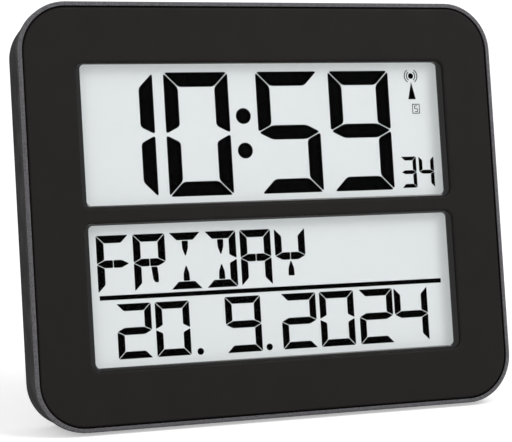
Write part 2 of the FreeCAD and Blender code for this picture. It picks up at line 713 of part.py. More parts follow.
def make_rear_cover():
    """The tub: drafted walls, battery bay, stand recess, keyhole pocket, bosses and saddles."""
    cover = Piece("rear_cover")
    outside = "(case_width - 2 * parting_step)"
    tall = "(case_height - 2 * parting_step)"
    cover.pad(COVER_FRONT, "case_depth", rounded(outside, tall, "corner_radius - parting_step"),
              taper="-side_draft")
    cover.fillet("back_edge_radius", at_depth("case_depth"))
    cover.cut(COVER_FRONT, BACK_INSIDE,
              rounded("%s - 2 * wall" % outside, "%s - 2 * wall" % tall,
                      "corner_radius - parting_step - wall"), taper="-side_draft")
    floor_run = "(standing_flat + wall)"
    cover.cut_across("-case_width / 2", "case_width / 2",
                     polygon((FLAT_DEPTH, FLAT_RISE),
                             ("%s + %s" % (FLAT_DEPTH, floor_run), "%s - wall" % FLAT_RISE),
                             ("%s + %s" % (FLAT_DEPTH, floor_run),
                              "%s + %s * tan(lean_angle)" % (FLAT_RISE, floor_run))))

    # Material that stands inside the tub
    bay_outside = "(%s + bay_wall)" % BAY_SIDE
    cover.pad("%s - bay_wall" % BAY_FLOOR, BACK_INSIDE,
              rounded("2 * %s" % bay_outside, "2 * (%s + bay_wall)" % BAY_HALF, "door_corner",
                      "0", "-bay_drop"))
    cover.pad("%s - bay_wall" % RECESS_FLOOR, BACK_INSIDE,
              rectangle("-%s - bay_wall" % RECESS_SIDE, "%s + bay_wall" % RECESS_SIDE,
                        "%s - bay_wall" % RECESS_BOTTOM, "%s + bay_wall" % RECESS_TOP))
    hanger_low = "(%s - hanger_radius - hanger_margin)" % HANGER_RISE
    hanger_high = "(%s + hanger_lift + hanger_radius)" % HANGER_RISE
    cover.pad("%s - hanger_room - bay_wall" % BACK_INSIDE, BACK_INSIDE,
              rectangle("-hanger_side - bay_wall", "hanger_side + bay_wall",
                        "%s - bay_wall" % hanger_low, "%s + bay_wall" % hanger_high))
    cover.pad("case_boss_depth", BACK_INSIDE,
              *discs("case_head_radius + case_head_gap + boss_wall", CASE_SCREWS))
    cover.pad(BOARD_BACK, BACK_INSIDE, *discs("board_boss_radius", BOARD_SCREWS))
    cover.pad(RECEIVER_BACK, BACK_INSIDE, *discs("board_boss_radius", RECEIVER_SCREWS))
    saddles = [("(-rod_offset %s saddle_offset)" % side) for side in ("+", "-")]
    cover.pad("rod_depth", BACK_INSIDE,
              *[rectangle("%s - saddle_width / 2" % x, "%s + saddle_width / 2" % x,
                          "%s - saddle_height / 2" % ROD_RISE, "%s + saddle_height / 2" % ROD_RISE)
                for x in saddles])

    # Openings cut into it
    cover.cut_across("-rod_offset - rod_length / 2", "-rod_offset + rod_length / 2",
                     disc("rod_radius + rod_gap", "rod_depth", ROD_RISE))
    cover.cut(BAY_FLOOR, "case_depth",
              rounded("2 * %s" % BAY_SIDE, "2 * %s" % BAY_HALF, "bay_corner", "0", "-bay_drop"))
    cover.cut(BAY_LEDGE, "case_depth",
              rounded("2 * (%s + door_ledge)" % BAY_SIDE, "2 * (%s + door_ledge)" % BAY_HALF,
                      "door_corner", "0", "-bay_drop"))
    cover.cut("%s - hook_drop - hook_swing" % BAY_LEDGE,
              "%s - hook_drop + hook_thickness + hook_play" % BAY_LEDGE,
              *[rectangle("%shook_offset - hook_width / 2 - 2 * door_gap" % side,
                          "%shook_offset + hook_width / 2 + 2 * door_gap" % side,
                          "-bay_drop + %s - hook_play" % BAY_HALF,
                          "-bay_drop + %s + bay_wall + hook_play" % BAY_HALF)
                for side in ("", "-")])
    cover.cut(RECESS_FLOOR, "case_depth",
              rounded("2 * %s" % RECESS_SIDE, "%s - %s" % (RECESS_TOP, RECESS_BOTTOM), "bay_corner",
                      "0", "(%s + %s) / 2" % (RECESS_TOP, RECESS_BOTTOM)))
    cover.cut_across("-%s - pivot_reach - leg_gap" % RECESS_SIDE, "%s + pivot_reach + leg_gap" % RECESS_SIDE,
                     disc("pivot_radius + pivot_gap", PIVOT_DEPTH, "-" + PIVOT_DROP))
    cover.cut("%s - hanger_room" % BACK_INSIDE, BACK_INSIDE,
              rectangle("-hanger_side", "hanger_side", hanger_low, hanger_high))
    cover.cut(BACK_INSIDE, "case_depth", disc("hanger_radius", "0", HANGER_RISE))
    cover.cut(BACK_INSIDE, "case_depth",
              rounded("2 * hanger_slot", "hanger_lift + 2 * hanger_slot", "hanger_slot - round_end_flat",
                      "0", "%s + hanger_lift / 2" % HANGER_RISE))
    cover.cut("case_boss_depth", "case_depth",
              *discs("case_screw_radius + screw_clearance", CASE_SCREWS))
    cover.cut("case_depth - case_head_sink", "case_depth",
              *discs("case_head_radius + case_head_gap", CASE_SCREWS))
    small_pilot = "small_screw_radius + screw_gap"
    cover.cut(BOARD_BACK, "%s + small_screw_length" % BOARD_BACK, *discs(small_pilot, BOARD_SCREWS))
    cover.cut(RECEIVER_BACK, "%s + small_screw_length" % RECEIVER_BACK,
              *discs(small_pilot, RECEIVER_SCREWS))
    cover.cut(BACK_INSIDE, "case_depth",
              *discs("button_radius + button_gap", [(x, "button_rise") for x in BUTTON_PLACES.values()]))
    cover.cut_across("-%s - bay_wall" % BAY_SIDE, "-%s" % BAY_SIDE,
                     *[rectangle("%s - contact_thickness / 2 - tag_gap" % CELL_DEPTH,
                                 "%s + contact_thickness / 2 + tag_gap" % CELL_DEPTH,
                                 "-bay_drop %s %s - tag_width / 2 - tag_gap" % (side, CELL_RISE),
                                 "-bay_drop %s %s + tag_width / 2 + tag_gap" % (side, CELL_RISE))
                       for side in ("+", "-")])
    return cover


def make_door():
    """The battery door: a plate that turns on its round top edge, with two hooks and a snap tongue.

    The corners beside the round edge are left out, so that they do not foul the cover as it turns.
    """
    door = Piece("battery_door")
    door.pad(BAY_LEDGE, "case_depth",
             rounded("2 * (%s + door_ledge - door_gap)" % BAY_SIDE, "%s - %s" % (DOOR_TOP, DOOR_BOTTOM),
                     "door_corner - door_gap", "0", "-bay_drop"))
    edge_side = "(%s + door_ledge - door_corner)" % BAY_SIDE
    corner_side = "(%s + door_ledge)" % BAY_SIDE
    corner_low = "(%s - door_corner)" % DOOR_TOP
    door.cut(BAY_LEDGE, "case_depth",
             polygon(("-" + corner_side, corner_low), ("-" + edge_side, corner_low),
                     ("-" + edge_side, DOOR_PIVOT), (edge_side, DOOR_PIVOT),
                     (edge_side, corner_low), (corner_side, corner_low),
                     (corner_side, DOOR_TOP), ("-" + corner_side, DOOR_TOP)))
    door.pad_across("-" + edge_side, edge_side,
                    disc("door_thickness / 2", "case_depth - door_thickness / 2", DOOR_PIVOT))
    root_high = "(-bay_drop + %s - door_gap)" % BAY_HALF
    root_low = "(%s - hook_thickness)" % root_high
    for side in ("", "-"):
        left = "%shook_offset - hook_width / 2" % side
        right = "%shook_offset + hook_width / 2" % side
        door.pad("%s - hook_drop" % BAY_LEDGE, BAY_LEDGE, rectangle(left, right, root_low, root_high))
        door.pad("%s - hook_drop" % BAY_LEDGE, "%s - hook_drop + hook_thickness" % BAY_LEDGE,
                 rectangle(left, right, root_low, "%s + hook_reach" % DOOR_TOP))
    slit_low = "%s - tongue_slit" % DOOR_BOTTOM
    slit_high = "(%s + tongue_length)" % DOOR_BOTTOM
    door.cut(BAY_LEDGE, "case_depth",
             *[rectangle("%stongue_width / 2 - tongue_slit / 2" % side,
                         "%stongue_width / 2 + tongue_slit / 2" % side, slit_low, slit_high)
               for side in ("", "-")])
    nose_low = "(-bay_drop - %s + door_gap)" % BAY_HALF
    door.pad("%s - hook_drop" % BAY_LEDGE, BAY_LEDGE,
             rectangle("tongue_slit - tongue_width / 2", "tongue_width / 2 - tongue_slit",
                       nose_low, "%s + hook_thickness" % nose_low))
    ridges = ["(%s + ridge_start + %d * ridge_pitch)" % (DOOR_BOTTOM, index) for index in range(DOOR_RIDGES)]
    door.cut("case_depth - ridge_depth", "case_depth",
             *[rectangle("ridge_inset - tongue_width / 2", "tongue_width / 2 - ridge_inset",
                         "%s - ridge_width / 2" % z, "%s + ridge_width / 2" % z) for z in ridges])
    return door


def make_cell(label, side, level):
    """A round cell lying along X, with its nub on the given side."""
    cell = Piece(label)
    z = "(-bay_drop %s %s)" % (level, CELL_RISE)
    nub_end = "(%s - contact_thickness)" % BAY_SIDE
    shoulder = "(%s - nub_length)" % nub_end
    foot = "(%s - cell_length)" % nub_end
    spans = [(foot, shoulder, "cell_radius"), (shoulder, nub_end, "nub_radius")]
    for start, end, radius in spans:
        if side < 0:
            start, end = "-%s" % end, "-%s" % start
        cell.pad_across(start, end, disc(radius, CELL_DEPTH, z))
    nub = value("nub_radius")
    cell.fillet("cell_round", lambda edge: edge.Curve.TypeId == "Part::GeomCircle"
                and edge.Curve.Radius > 2 * nub)
    return cell


def conical_spring(turns, length, wide, narrow, wire):
    """A conical helix along +X from its wide end at the origin, as one round wire."""
    slope = math.degrees(math.atan2(narrow - wide, length))
    path = Part.makeHelix(length / turns, length, wide, slope)
    section = Part.Wire(Part.makeCircle(wire, Vector(wide, 0, 0), Vector(0, 1, 0)))
    solid = Part.Wire(path.Edges).makePipeShell([section], True, True)
    solid.rotate(Vector(0, 0, 0), Vector(0, 1, 0), 90)
    return solid


def make_contacts():
    """The three battery contacts: negative spring, positive plate and the link between the cells."""
    wire = value("spring_wire")
    coil = conical_spring(value("spring_turns"), value("spring_length - 2 * spring_wire"),
                          value("spring_wide"), value("spring_narrow"), wire)
    bay, thickness, depth = value(BAY_SIDE), value("contact_thickness"), value(CELL_DEPTH)
    upper = value("-bay_drop + %s" % CELL_RISE)
    lower = value("-bay_drop - %s" % CELL_RISE)
    width = value("contact_width")
    tag = value("tag_width")
    reach = value("bay_wall + tag_reach")

    def plate(left, low, high):
        return Part.makeBox(thickness, width, high - low, Vector(left, depth - width / 2, low))

    def tongue(z):
        return Part.makeBox(reach, thickness, tag, Vector(-bay - reach, depth - thickness / 2, z - tag / 2))

    left_coil = coil.copy()
    left_coil.translate(Vector(-bay + thickness + wire, depth, upper))
    right_coil = coil.copy()
    right_coil.rotate(Vector(0, 0, 0), Vector(0, 1, 0), 180)
    right_coil.translate(Vector(bay - thickness - wire, depth, lower))
    negative = plate(-bay, upper - width / 2, upper + width / 2).fuse(tongue(upper))
    positive = plate(-bay, lower - width / 2, lower + width / 2).fuse(tongue(lower))
    link = plate(bay - thickness, lower - width / 2, upper + width / 2)
    return [
        feature("negative_spring", Part.makeCompound([negative.removeSplitter(), left_coil])),
        feature("positive_plate", positive.removeSplitter()),
        feature("link_contact", Part.makeCompound([link, right_coil])),
    ]


def feature(label, shape):
    """A sub-part whose shape is worked out above, kept as one object of the document."""
    item = document.addObject("Part::Feature", label)
    item.Label = label
    item.Shape = shape
    return item


def tube(points, radius):
    """A lead along straight runs joined by tangent arcs, each as large as its two runs allow."""
    edges = []
    start = points[0]
    for before, corner, after in zip(points, points[1:], points[2:]):
        arrive = (corner - before).normalize()
        leave = (after - corner).normalize()
        half_turn = arrive.getAngle(leave) / 2
        shorter = min((corner - before).Length, (after - corner).Length)
        setback = SETBACK_SHARE * shorter
        bend = setback / math.tan(half_turn)
        entry = corner - arrive * setback
        leaving = corner + leave * setback
        inward = (leave - arrive).normalize()
        middle = corner + inward * (bend / math.cos(half_turn) - bend)
        edges.append(Part.LineSegment(start, entry).toShape())
        edges.append(Part.Arc(entry, middle, leaving).toShape())
        start = leaving
    edges.append(Part.LineSegment(start, points[-1]).toShape())
    path = Part.Wire(edges)
    section = Part.Wire(Part.makeCircle(radius, points[0], points[1] - points[0]))
    solid = path.makePipeShell([section], True, False)
    expected = math.pi * radius ** 2 * path.Length
    assert abs(solid.Volume / expected - 1) < 0.01, "a lead's volume is off its section times its length"
    return solid


def make_leads():
    """The leads inside the case: two from the battery contacts, two from the antenna, three signals."""
    thick, fine, pitch = value("lead_radius"), value("fine_lead_radius"), value("lead_pitch")
    board_back, cell_depth = value(BOARD_BACK), value(CELL_DEPTH)
    solder_low = value("solder_inset - board_drop")
    tag_end = -value("%s + bay_wall + tag_reach" % BAY_SIDE)
    leads = []
    for label, level, column in (("black_battery_lead", "+", 1), ("red_battery_lead", "-", 2)):
        rise = value("-bay_drop %s %s" % (level, CELL_RISE))
        x = tag_end - 2 * pitch * column
        leads.append(feature(label, tube([
            Vector(tag_end, cell_depth, rise), Vector(x, cell_depth, rise),
            Vector(x, cell_depth, solder_low), Vector(x, board_back, solder_low)], thick)))

    coil_end = -value("rod_offset + coil_length / 2")
    winding = (value("coil_radius") + value("rod_radius + rod_gap")) / 2
    rod_depth, rod_rise = value("rod_depth"), value(ROD_RISE)
    receiver_back = value(RECEIVER_BACK)
    loop = receiver_back + value("lead_loop")
    receiver_edge = -value("%s - receiver_width / 2" % RECEIVER_OFFSET)
    receiver_high = value("%s + receiver_height / 2 - solder_inset / 2" % RECEIVER_RISE)
    receiver_low = value("%s - receiver_height / 2 + solder_inset / 2" % RECEIVER_RISE)
    antenna = []
    for column in (1, 2):
        x = coil_end - (column + 0.5) * pitch
        pad = receiver_edge - column * pitch
        antenna.append(tube([
            Vector(coil_end, rod_depth, rod_rise - winding), Vector(x, rod_depth, rod_rise - winding),
            Vector(x, loop, (rod_rise + receiver_high) / 2), Vector(pad, loop, receiver_high),
            Vector(pad, receiver_back, receiver_high)], fine))
    leads.append(feature("antenna_leads", Part.makeCompound(antenna)))

    board_edge = -value("board_width / 2 - 2 * solder_inset")
    board_rise = value("board_height / 2")
    signals = []
    for column in (0, 1, 2):
        pad = -value(RECEIVER_OFFSET) + (column - 1) * pitch
        target = board_edge + column * pitch
        signals.append(tube([
            Vector(pad, receiver_back, receiver_low), Vector(pad, loop, receiver_low),
            Vector(target, loop, board_rise), Vector(target, board_back, board_rise)], fine))
    leads.append(feature("receiver_leads", Part.makeCompound(signals)))
    return leads


def make_antenna():
    """The ferrite rod and the coil wound on it."""
    rod = Piece("ferrite_rod")
    rod.pad_across("-rod_offset - rod_length / 2", "-rod_offset + rod_length / 2",
                   disc("rod_radius", "rod_depth", ROD_RISE))
    coil = Piece("antenna_coil")
    coil.pad_across("-rod_offset - coil_length / 2", "-rod_offset + coil_length / 2",
                    disc("coil_radius", "rod_depth", ROD_RISE),
                    disc("rod_radius + rod_gap / 2", "rod_depth", ROD_RISE))
    return [rod, coil]


def make_receiver():
    """The radio receiver's small board and its chip."""
    board = Piece("receiver_board")
    board.pad("receiver_front", RECEIVER_BACK,
              rounded("receiver_width", "receiver_height", "receiver_corner",
                      "-" + RECEIVER_OFFSET, RECEIVER_RISE))
    board.cut("receiver_front", RECEIVER_BACK,
              *discs("small_screw_radius + screw_clearance", RECEIVER_SCREWS))
    chip = Piece("receiver_chip")
    chip.pad("receiver_front - chip_height", "receiver_front",
             rounded("chip_length", "chip_width", "chip_round", "-" + RECEIVER_OFFSET, RECEIVER_RISE))
    return [board, chip]


def make_stand_leg():
    """The fold-out leg, drawn about its pivot with its length along Y, and its two pivot pins."""
    leg = Piece("stand_leg")
    half = "leg_width / 2"
    leg.pad_across("-" + half, half,
                   rounded("%s + leg_thickness" % LEG_LENGTH, "leg_thickness",
                           "leg_thickness / 2 - round_end_flat", "%s / 2" % LEG_LENGTH, "0"))
    leg.pad_across("-" + half, half, disc("barrel_radius"))
    leg.pad_across("-%s - pivot_reach - leg_gap" % half, "%s + pivot_reach + leg_gap" % half,
                   disc("pivot_radius"))
    pocket = "((leg_width - (%d + 1) * leg_rim) / %d)" % (LEG_POCKETS, LEG_POCKETS)
    pocket_low = "(barrel_radius + leg_rim)"
    pocket_high = "(%s - thumb_radius)" % LEG_LENGTH
    pockets = []
    for index in range(LEG_POCKETS):
        left = "(-leg_width / 2 + leg_rim + %d * (%s + leg_rim))" % (index, pocket)
        pockets.append(rounded(pocket, "%s - %s" % (pocket_high, pocket_low), "pocket_round",
                               "%s + %s / 2" % (left, pocket), "(%s + %s) / 2" % (pocket_high, pocket_low)))
    leg.cut_down("leg_thickness / 2", "leg_thickness - leg_web", *pockets)
    leg.cut_down("leg_thickness / 2", "leg_thickness",
                 disc("thumb_radius", "0", "%s + leg_thickness / 2" % LEG_LENGTH))
    return leg


def leg_angle():
    """How far the open leg points below the back's normal, so that its round tip touches the floor."""
    tip = value("leg_thickness") / 2
    slope = math.radians(value("lean_angle"))
    rise = value("-%s - %s" % (PIVOT_DROP, FLAT_RISE))
    drop = rise - value("%s - %s" % (PIVOT_DEPTH, FLAT_DEPTH)) * math.tan(slope)
    return math.degrees(math.asin((drop * math.cos(slope) - tip) / value(LEG_LENGTH)) - slope)


def assemble(upright, leg):
    """Lean every sub-part back and put the origin under the middle of the whole."""
    hinge = Placement(Vector(0, value(PIVOT_DEPTH), -value(PIVOT_DROP)),
                      Rotation(Vector(1, 0, 0), -leg_angle()))
    lean = Placement(Vector(0, 0, 0), Rotation(Vector(1, 0, 0), -value("lean_angle")))
    places = [(item, Placement()) for item in upright] + [(leg, hinge)]
    boxes = []
    for item, place in places:
        item.Placement = lean.multiply(place)
        boxes.append(item.Shape.optimalBoundingBox(False, False))
    back = (min(box.YMin for box in boxes) + max(box.YMax for box in boxes)) / 2
    floor = min(box.ZMin for box in boxes)
    origin = Placement(Vector(0, -back, -floor), Rotation())
    for item, place in places:
        item.Placement = origin.multiply(lean).multiply(place)
    return origin.multiply(lean), origin.multiply(lean).multiply(hinge)


def check(items):
    """Stop if a feature has failed or a sub-part is empty or not valid."""
    for item in document.Objects:
        assert not {"Invalid", "Error"} & set(item.State), "%s is %s" % (item.Label, item.State)
    for item in items:
        assert not item.Shape.isNull() and item.Shape.isValid(), item.Label + " is not a valid shape"
        assert item.Shape.Solids, item.Label + " has no solid"


pieces = [make_front_frame(), make_face_panel(), make_holder(), make_board(), make_rear_cover(), make_door()]
for window in WINDOWS:
    pieces += [make_pane(window), make_strip(window)] + make_display(window)
for button_name in BUTTONS:
    pieces += make_button(button_name)
pieces += make_board_parts() + make_antenna() + make_receiver() + make_screws()
pieces += [make_cell("upper_cell", 1, "+"), make_cell("lower_cell", -1, "-")]
stand_leg = make_stand_leg()
document.recompute()

still = [piece.body for piece in pieces] + make_contacts() + make_leads()
leaned, leg_placement = assemble(still, stand_leg.body)
document.recompute()
sub_parts = still + [stand_leg.body]
check(sub_parts)

os.makedirs("parts", exist_ok=True)
for sub_part in sub_parts:
    sub_part.Shape.exportStep("parts/%s.step" % sub_part.Label)
print("%d sub-parts, leg open %.2f degrees" % (len(sub_parts), 90 + leg_angle()))
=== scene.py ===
"""A digital day clock that leans back on its fold-out stand: its looks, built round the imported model."""
import logging
import math
from dataclasses import dataclass, field, replace
from enum import Enum

import bpy
import numpy as np
from mathutils import Matrix, Vector


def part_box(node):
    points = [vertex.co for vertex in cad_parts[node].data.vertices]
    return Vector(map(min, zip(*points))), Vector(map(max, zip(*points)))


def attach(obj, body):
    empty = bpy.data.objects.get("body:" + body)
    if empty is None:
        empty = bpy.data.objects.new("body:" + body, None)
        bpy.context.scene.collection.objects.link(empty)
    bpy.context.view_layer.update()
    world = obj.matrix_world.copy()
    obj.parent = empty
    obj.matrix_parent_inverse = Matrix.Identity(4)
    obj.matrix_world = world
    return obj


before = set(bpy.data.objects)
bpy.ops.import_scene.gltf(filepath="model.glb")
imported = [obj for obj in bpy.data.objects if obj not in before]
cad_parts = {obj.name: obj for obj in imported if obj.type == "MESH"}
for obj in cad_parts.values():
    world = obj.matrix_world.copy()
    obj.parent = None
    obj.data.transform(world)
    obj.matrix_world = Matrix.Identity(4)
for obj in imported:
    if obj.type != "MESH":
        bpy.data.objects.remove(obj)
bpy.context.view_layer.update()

log = logging.getLogger("day_clock")
MM = 0.001

# Sockets of the Mix node when it mixes colours: its two colours and its result.
FIRST_COLOUR, SECOND_COLOUR, MIXED_COLOUR = 6, 7, 2
# Nearly all of Blender's noise lies between these two values.
NOISE_RANGE = (0.3, 0.7)
# Blender's wave texture is the sine of its scaled place times this number.
WAVE_TURNS = 20


# Colours and nodes

def linear(code: str) -> tuple[float, float, float, float]:
    """Turn an sRGB hex colour into linear light.

    Args:
        code: six hex digits, with or without a leading #.

    Returns:
        Red, green, blue and an alpha of one. Each channel is c / 12.92 below 0.04045 and
        ((c + 0.055) / 1.055) to the power 2.4 above it.
    """
    digits = code.lstrip("#")
    channels = np.array([int(digits[at:at + 2], 16) for at in (0, 2, 4)]) / 255
    light = np.where(channels <= 0.04045, channels / 12.92, ((channels + 0.055) / 1.055) ** 2.4)
    return (*light.tolist(), 1.0)


def add_node(tree: bpy.types.NodeTree, kind: str, inputs: dict | None = None, **settings) -> bpy.types.Node:
    """Add one node with its settings, its socket values and its links.

    Args:
        tree: the node tree that takes the node.
        kind: the node's type name.
        inputs: socket name or index, with either a plain value or an output socket to link from.
        settings: properties of the node itself.

    Returns:
        The new node.
    """
    node = tree.nodes.new(kind)
    for name, setting in settings.items():
        setattr(node, name, setting)
    for socket, given in (inputs or {}).items():
        if isinstance(given, bpy.types.NodeSocket):
            tree.links.new(given, node.inputs[socket])
        else:
            node.inputs[socket].default_value = given
    return node


# Finishes

@dataclass(frozen=True)
class Finish:
    """A plain finish: one colour that mottles a little, and a fine moulded or coated grain.

    Sizes are in millimetres. grain is the width of one grain, relief its height, mottle how far the
    colour strays from its written value, patch the width of a mottled patch, and wear how far the
    roughness strays.
    """

    name: str
    colour: str
    roughness: float
    metallic: float = 0.0
    ior: float = 1.5
    specular: float = 0.5
    coat: float = 0.0
    grain: float = 0.4
    relief: float = 0.01
    mottle: float = 0.06
    patch: float = 6.0
    wear: float = 0.08

    def material(self) -> bpy.types.Material:
        """Build the material, or hand back the one that was built before."""
        known = bpy.data.materials.get(self.name)
        if known is not None:
            return known
        made = bpy.data.materials.new(self.name)
        made.use_nodes = True
        tree = made.node_tree
        tree.nodes.clear()
        surface = add_node(tree, "ShaderNodeBsdfPrincipled", {
            "Metallic": self.metallic, "Specular IOR Level": self.specular, "Coat Weight": self.coat})
        if not self.metallic:
            surface.inputs["IOR"].default_value = self.ior
        place = add_node(tree, "ShaderNodeTexCoord").outputs["Object"]
        tree.links.new(self.colour_socket(tree, place), surface.inputs["Base Color"])
        tree.links.new(self.roughness_socket(tree, place), surface.inputs["Roughness"])
        tree.links.new(self.normal_socket(tree, place), surface.inputs["Normal"])
        self.adjust(surface)
        add_node(tree, "ShaderNodeOutputMaterial", {"Surface": self.shown(tree, surface)})
        return made

    def noise(self, tree: bpy.types.NodeTree, place: bpy.types.NodeSocket, width: float,
              detail: float = 3.0) -> bpy.types.NodeSocket:
        """Noise whose patches are about the given width in millimetres across."""
        return add_node(tree, "ShaderNodeTexNoise", {
            "Vector": place, "Scale": 1 / (width * MM), "Detail": detail}).outputs["Fac"]

    def tones(self, tree: bpy.types.NodeTree, factor: bpy.types.NodeSocket, low: str, high: str,
              ends: tuple[float, float] = NOISE_RANGE) -> bpy.types.NodeSocket:
        """A colour ramp between two hex colours."""
        ramp = add_node(tree, "ShaderNodeValToRGB", {"Fac": factor})
        for element, colour, at in zip(ramp.color_ramp.elements, (low, high), ends):
            element.color = linear(colour)
            element.position = at
        return ramp.outputs["Color"]

    def shade(self, amount: float) -> str:
        """The finish's colour made lighter or darker by a share of itself, as hex digits."""
        digits = self.colour.lstrip("#")
        channels = [min(255, max(0, round(int(digits[at:at + 2], 16) * (1 + amount)))) for at in (0, 2, 4)]
        return "#%02X%02X%02X" % tuple(channels)

    def colour_socket(self, tree: bpy.types.NodeTree, place: bpy.types.NodeSocket) -> bpy.types.NodeSocket:
        """The colour, which mottles between a darker and a lighter tone."""
        return self.tones(tree, self.noise(tree, place, self.patch), self.shade(-self.mottle),
                          self.shade(self.mottle))

    def roughness_socket(self, tree: bpy.types.NodeTree,
                         place: bpy.types.NodeSocket) -> bpy.types.NodeSocket:
        """The roughness, uneven by the wear that handling leaves."""
        return add_node(tree, "ShaderNodeMapRange", {
            "Value": self.noise(tree, place, self.patch * 2),
            "From Min": NOISE_RANGE[0], "From Max": NOISE_RANGE[1],
            "To Min": max(0.0, self.roughness - self.wear),
            "To Max": min(1.0, self.roughness + self.wear)}).outputs["Result"]

    def normal_socket(self, tree: bpy.types.NodeTree, place: bpy.types.NodeSocket) -> bpy.types.NodeSocket:
        """The grain as a bump of its real height."""
        return add_node(tree, "ShaderNodeBump", {
            "Strength": 1.0, "Distance": self.relief * MM,
            "Height": self.noise(tree, place, self.grain, detail=4.0)}).outputs["Normal"]

    def adjust(self, surface: bpy.types.Node) -> None:
        """Change sockets that only some finishes use."""

    def shown(self, tree: bpy.types.NodeTree, surface: bpy.types.Node) -> bpy.types.NodeSocket:
        """What the output takes: the surface as it is, unless a finish mixes it with another shader."""
        return surface.outputs["BSDF"]


@dataclass(frozen=True)
class SpeckledRim(Finish):
    """Black moulded plastic with a fine metallic-grey lacquer on its front rim: light and dark specks.

    Sizes are in millimetres: flake is the width of one flake, contrast how far its tone strays from the
    written colour, and ends the noise values of the darkest and the lightest flakes. The lacquer ends
    at lacquer_depth behind the front face, and the moulding's sides stay bare. back and front say where
    that face lies in the row frame: its direction and its distance.
    """

    flake: float = 0.45
    contrast: float = 0.22
    ends: tuple[float, float] = (0.35, 0.65)
    bare: str = "#1B1919"
    lacquer_depth: float = 0.5
    back: tuple[float, float, float] = (0.0, 1.0, 0.0)
    front: float = 0.0

    def colour_socket(self, tree: bpy.types.NodeTree, place: bpy.types.NodeSocket) -> bpy.types.NodeSocket:
        """Flakes, drawn a little coarser than real so that they show from a step away, and bare sides."""
        flakes = self.tones(tree, self.noise(tree, place, self.flake, detail=2.0),
                            self.shade(-self.contrast), self.shade(self.contrast), self.ends)
        return add_node(tree, "ShaderNodeMix", {
            "Factor": self.is_bare(tree, place), FIRST_COLOUR: flakes, SECOND_COLOUR: linear(self.bare)},
            data_type="RGBA").outputs[MIXED_COLOUR]

    def is_bare(self, tree: bpy.types.NodeTree, place: bpy.types.NodeSocket) -> bpy.types.NodeSocket:
        """One where a point lies deeper than the lacquer reaches, zero elsewhere."""
        deep = add_node(tree, "ShaderNodeVectorMath", {0: place, 1: self.back}, operation="DOT_PRODUCT")
        return add_node(tree, "ShaderNodeMath", {
            0: deep.outputs["Value"], 1: (self.front + self.lacquer_depth) * MM},
            operation="GREATER_THAN").outputs["Value"]


@dataclass(frozen=True)
class ClearSheet(Finish):
    """Clear cast acrylic or float glass: it bends light and keeps a polished surface."""

    def adjust(self, surface: bpy.types.Node) -> None:
        """Let all light through the sheet."""
        surface.inputs["Transmission Weight"].default_value = 1.0

    def shown(self, tree: bpy.types.NodeTree, surface: bpy.types.Node) -> bpy.types.NodeSocket:
        """The sheet as seen; to shadow and diffuse rays it is nothing, so light reaches what is behind."""
        paths = add_node(tree, "ShaderNodeLightPath")
        passing = add_node(tree, "ShaderNodeMath", {
            0: paths.outputs["Is Shadow Ray"], 1: paths.outputs["Is Diffuse Ray"]}, operation="MAXIMUM")
        open_way = add_node(tree, "ShaderNodeBsdfTransparent")
        mixed = add_node(tree, "ShaderNodeMixShader", {
            0: passing.outputs["Value"], 1: surface.outputs["BSDF"], 2: open_way.outputs["BSDF"]})
        return mixed.outputs["Shader"]


@dataclass(frozen=True)
class GlowPaintedFilm(Finish):
    """Film over a display with a painted glow: part of its brightness is even emission, though the display
    is no lamp, and this fills in the shade near the window's edges.
    """

    glow: str = "#DBDFE0"
    painted_glow_strength: float = 0.4

    def adjust(self, surface: bpy.types.Node) -> None:
        """Add the painted glow: an even emission from the film that stands in for light reaching it."""
        # The emission is painted light: it brightens the film evenly, shaded edges included.
        surface.inputs["Emission Color"].default_value = linear(self.glow)
        surface.inputs["Emission Strength"].default_value = self.painted_glow_strength


@dataclass(frozen=True)
class BoardMask(Finish):
    """Green solder mask over copper: the tracks show as lighter lines on a square grid.

    Sizes are in millimetres: pitch is the grid's, a stretch of track is run pitches long, and lighter
    says how much lighter the mask is between some of the tracks.
    """

    track: str = "#1F6B3E"
    track_width: float = 0.3
    pitch: float = 2.54
    run: int = 5
    lighter: float = 0.15

    def colour_socket(self, tree: bpy.types.NodeTree, place: bpy.types.NodeSocket) -> bpy.types.NodeSocket:
        """Tracks: short straight runs, drawn as the joints between long low bricks."""
        return add_node(tree, "ShaderNodeTexBrick", {
            "Vector": place, "Color1": linear(self.colour), "Color2": linear(self.shade(self.lighter)),
            "Mortar": linear(self.track), "Scale": 1.0, "Mortar Size": self.track_width * MM,
            "Brick Width": self.run * self.pitch * MM, "Row Height": self.pitch * MM}).outputs["Color"]


@dataclass(frozen=True)
class WoundWire(Finish):
    """Enamelled copper wire in close turns along X, which show as rings, each ring millimetres wide."""

    ring: float = 2.547

    def normal_socket(self, tree: bpy.types.NodeTree, place: bpy.types.NodeSocket) -> bpy.types.NodeSocket:
        """Rings whose height follows a sine wave along X."""
        scale = math.tau / WAVE_TURNS / (self.ring * MM)
        rings = add_node(tree, "ShaderNodeTexWave", {"Vector": place, "Scale": scale},
                         bands_direction="X").outputs["Fac"]
        return add_node(tree, "ShaderNodeBump", {
            "Strength": 1.0, "Distance": self.relief * MM, "Height": rings}).outputs["Normal"]


